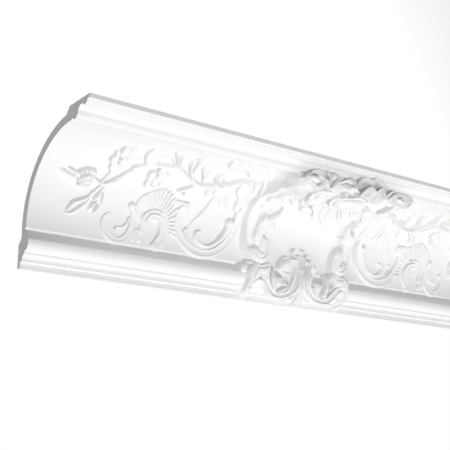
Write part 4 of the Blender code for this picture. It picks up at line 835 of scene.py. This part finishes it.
def apply_modifiers(piece):
    """Keeps what the piece's modifiers make of it as its own mesh."""
    bpy.context.view_layer.update()
    mesh = bpy.data.meshes.new_from_object(piece.evaluated_get(bpy.context.evaluated_depsgraph_get()))
    piece.modifiers.clear()
    piece.data = mesh


def carved_moulding():
    """The moulding joined with all its ornaments, pressed into the solids' box where they pass it."""
    body = plain_moulding()
    # Each free layer's name, drawing, thickness and left edge
    layers = (("acanthus", draw_acanthus, 3.5, BRANCH_LEFT), ("bridge", draw_bridge, 18.0, FRAME_LEFT),
              ("volute", draw_volute, 10.0, FRAME_LEFT), ("leaves", draw_free_leaves, 6.0, FRAME_LEFT),
              ("foot", draw_foot, 9.0, FRAME_LEFT), ("palmette", draw_palmette, 9.0, FRAME_LEFT))
    ornaments = [cove_relief()]
    ornaments += [free_standing(*layer) for layer in layers]
    ornaments += [crest_mass(), crest_openwork()]
    total = sum(len(ornament.data.polygons) for ornament in ornaments)
    for ornament in ornaments:
        bpy.context.scene.collection.objects.link(ornament)
        if total > FACES_KEPT:
            thin = ornament.modifiers.new("fewer_faces", "DECIMATE")
            thin.ratio = FACES_KEPT / total
        union = body.modifiers.new(ornament.name, "BOOLEAN")
        union.operation = "UNION"
        union.solver = "MANIFOLD"
        union.object = ornament
    apply_modifiers(body)
    for ornament in ornaments:
        bpy.data.objects.remove(ornament)
    # The palmette's and the feet's tips reach up to 5 mm below the box and are flattened onto it
    points = np.empty(len(body.data.vertices) * 3)
    body.data.vertices.foreach_get("co", points)
    points = np.clip(points.reshape(-1, 3), cad_low, cad_high)
    body.data.vertices.foreach_set("co", points.ravel())
    body.data.update()
    body.data.shade_smooth()
    body.data.set_sharp_from_angle(angle=math.radians(SHARP_ANGLE))
    return body


def primed_white():
    """Matt white primer: the faintest mottle in tone and gloss, and a fine grain."""
    material = bpy.data.materials.new("primed_white")
    material.use_nodes = True
    nodes, links = material.node_tree.nodes, material.node_tree.links
    shader = nodes["Principled BSDF"]
    place = nodes.new("ShaderNodeTexCoord")
    mottle = nodes.new("ShaderNodeTexNoise")
    mottle.inputs["Scale"].default_value = 14.0
    mottle.inputs["Detail"].default_value = 5.0
    tone = nodes.new("ShaderNodeValToRGB")
    tone.color_ramp.elements[0].position = 0.3
    tone.color_ramp.elements[0].color = (0.835, 0.835, 0.83, 1)
    tone.color_ramp.elements[1].position = 0.7
    tone.color_ramp.elements[1].color = (0.885, 0.885, 0.88, 1)
    gloss = nodes.new("ShaderNodeMapRange")
    gloss.inputs["To Min"].default_value = 0.5
    gloss.inputs["To Max"].default_value = 0.64
    grain = nodes.new("ShaderNodeTexNoise")
    grain.inputs["Scale"].default_value = 900.0
    grain.inputs["Detail"].default_value = 3.0
    bump = nodes.new("ShaderNodeBump")
    bump.inputs["Strength"].default_value = 0.12
    bump.inputs["Distance"].default_value = 0.0004
    links.new(place.outputs["Object"], mottle.inputs["Vector"])
    links.new(place.outputs["Object"], grain.inputs["Vector"])
    links.new(mottle.outputs["Fac"], tone.inputs["Fac"])
    links.new(tone.outputs["Color"], shader.inputs["Base Color"])
    links.new(mottle.outputs["Fac"], gloss.inputs["Value"])
    links.new(gloss.outputs["Result"], shader.inputs["Roughness"])
    links.new(grain.outputs["Fac"], bump.inputs["Height"])
    links.new(bump.outputs["Normal"], shader.inputs["Normal"])
    return material


def pale_floor():
    """Pale floor far below the piece."""
    mesh = bpy.data.meshes.new("floor")
    level = ORIGIN_DROP * MM - FLOOR_DROP
    corners = [(x * FLOOR_REACH, y * FLOOR_REACH, level) for x, y in ((-1, -1), (1, -1), (1, 1), (-1, 1))]
    mesh.from_pydata(corners, [], [(0, 1, 2, 3)])
    floor = bpy.data.objects.new("floor", mesh)
    bpy.context.scene.collection.objects.link(floor)
    material = bpy.data.materials.new("pale_floor")
    material.use_nodes = True
    material.node_tree.nodes["Principled BSDF"].inputs["Base Color"].default_value = (0.8, 0.8, 0.8, 1)
    material.node_tree.nodes["Principled BSDF"].inputs["Roughness"].default_value = 0.9
    mesh.materials.append(material)


def area_light(name, position, target, size, power, casts_shadow):
    """A square light that faces its target."""
    data = bpy.data.lights.new(name, "AREA")
    data.shape = "SQUARE"
    data.size = size
    data.energy = power
    data.use_shadow = casts_shadow
    light = bpy.data.objects.new(name, data)
    aim = (Vector(target) - Vector(position)).to_track_quat("-Z", "Y")
    light.matrix_world = Matrix.LocRotScale(Vector(position), aim, None)
    bpy.context.scene.collection.objects.link(light)


def studio():
    """Soft light from below and in front; the surroundings are white behind the piece, dimmer in front."""
    world = bpy.data.worlds.new("studio")
    world.use_nodes = True
    nodes, links = world.node_tree.nodes, world.node_tree.links
    direction = nodes.new("ShaderNodeTexCoord")
    split = nodes.new("ShaderNodeSeparateXYZ")
    strength = nodes.new("ShaderNodeMapRange")
    strength.inputs["From Min"].default_value = 0.25
    strength.inputs["From Max"].default_value = 0.6
    strength.inputs["To Min"].default_value = DIM_WORLD
    strength.inputs["To Max"].default_value = 1.0
    links.new(direction.outputs["Generated"], split.inputs["Vector"])
    links.new(split.outputs["Y"], strength.inputs["Value"])
    links.new(strength.outputs["Result"], nodes["Background"].inputs["Strength"])
    nodes["Background"].inputs["Color"].default_value = (1, 1, 1, 1)
    bpy.context.scene.world = world
    for name, position, size, power, casts_shadow in LIGHTS:
        area_light(name, position, LIT_SPOT, size, power, casts_shadow)
    bpy.context.scene.view_settings.view_transform = "Standard"


def camera():
    """At the photograph's place: to the left of the piece and below it, looking up along it."""
    data = bpy.data.cameras.new("camera")
    data.lens = 76.08
    data.sensor_width = 36.0
    holder = bpy.data.objects.new("camera", data)
    right = Vector((0.8025, -0.5966, 0))
    up = Vector((-0.1557, -0.2094, 0.9654))
    back = right.cross(up)
    turn = Matrix((right, up, back)).transposed()
    holder.matrix_world = Matrix.Translation((-0.9167, -1.0807, -0.2655)) @ turn.to_4x4()
    bpy.context.scene.collection.objects.link(holder)
    bpy.context.scene.camera = holder


piece = carved_moulding()
piece.data.materials.append(primed_white())
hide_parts("cornice_moulding")
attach(piece, "root")
pale_floor()
studio()
camera()
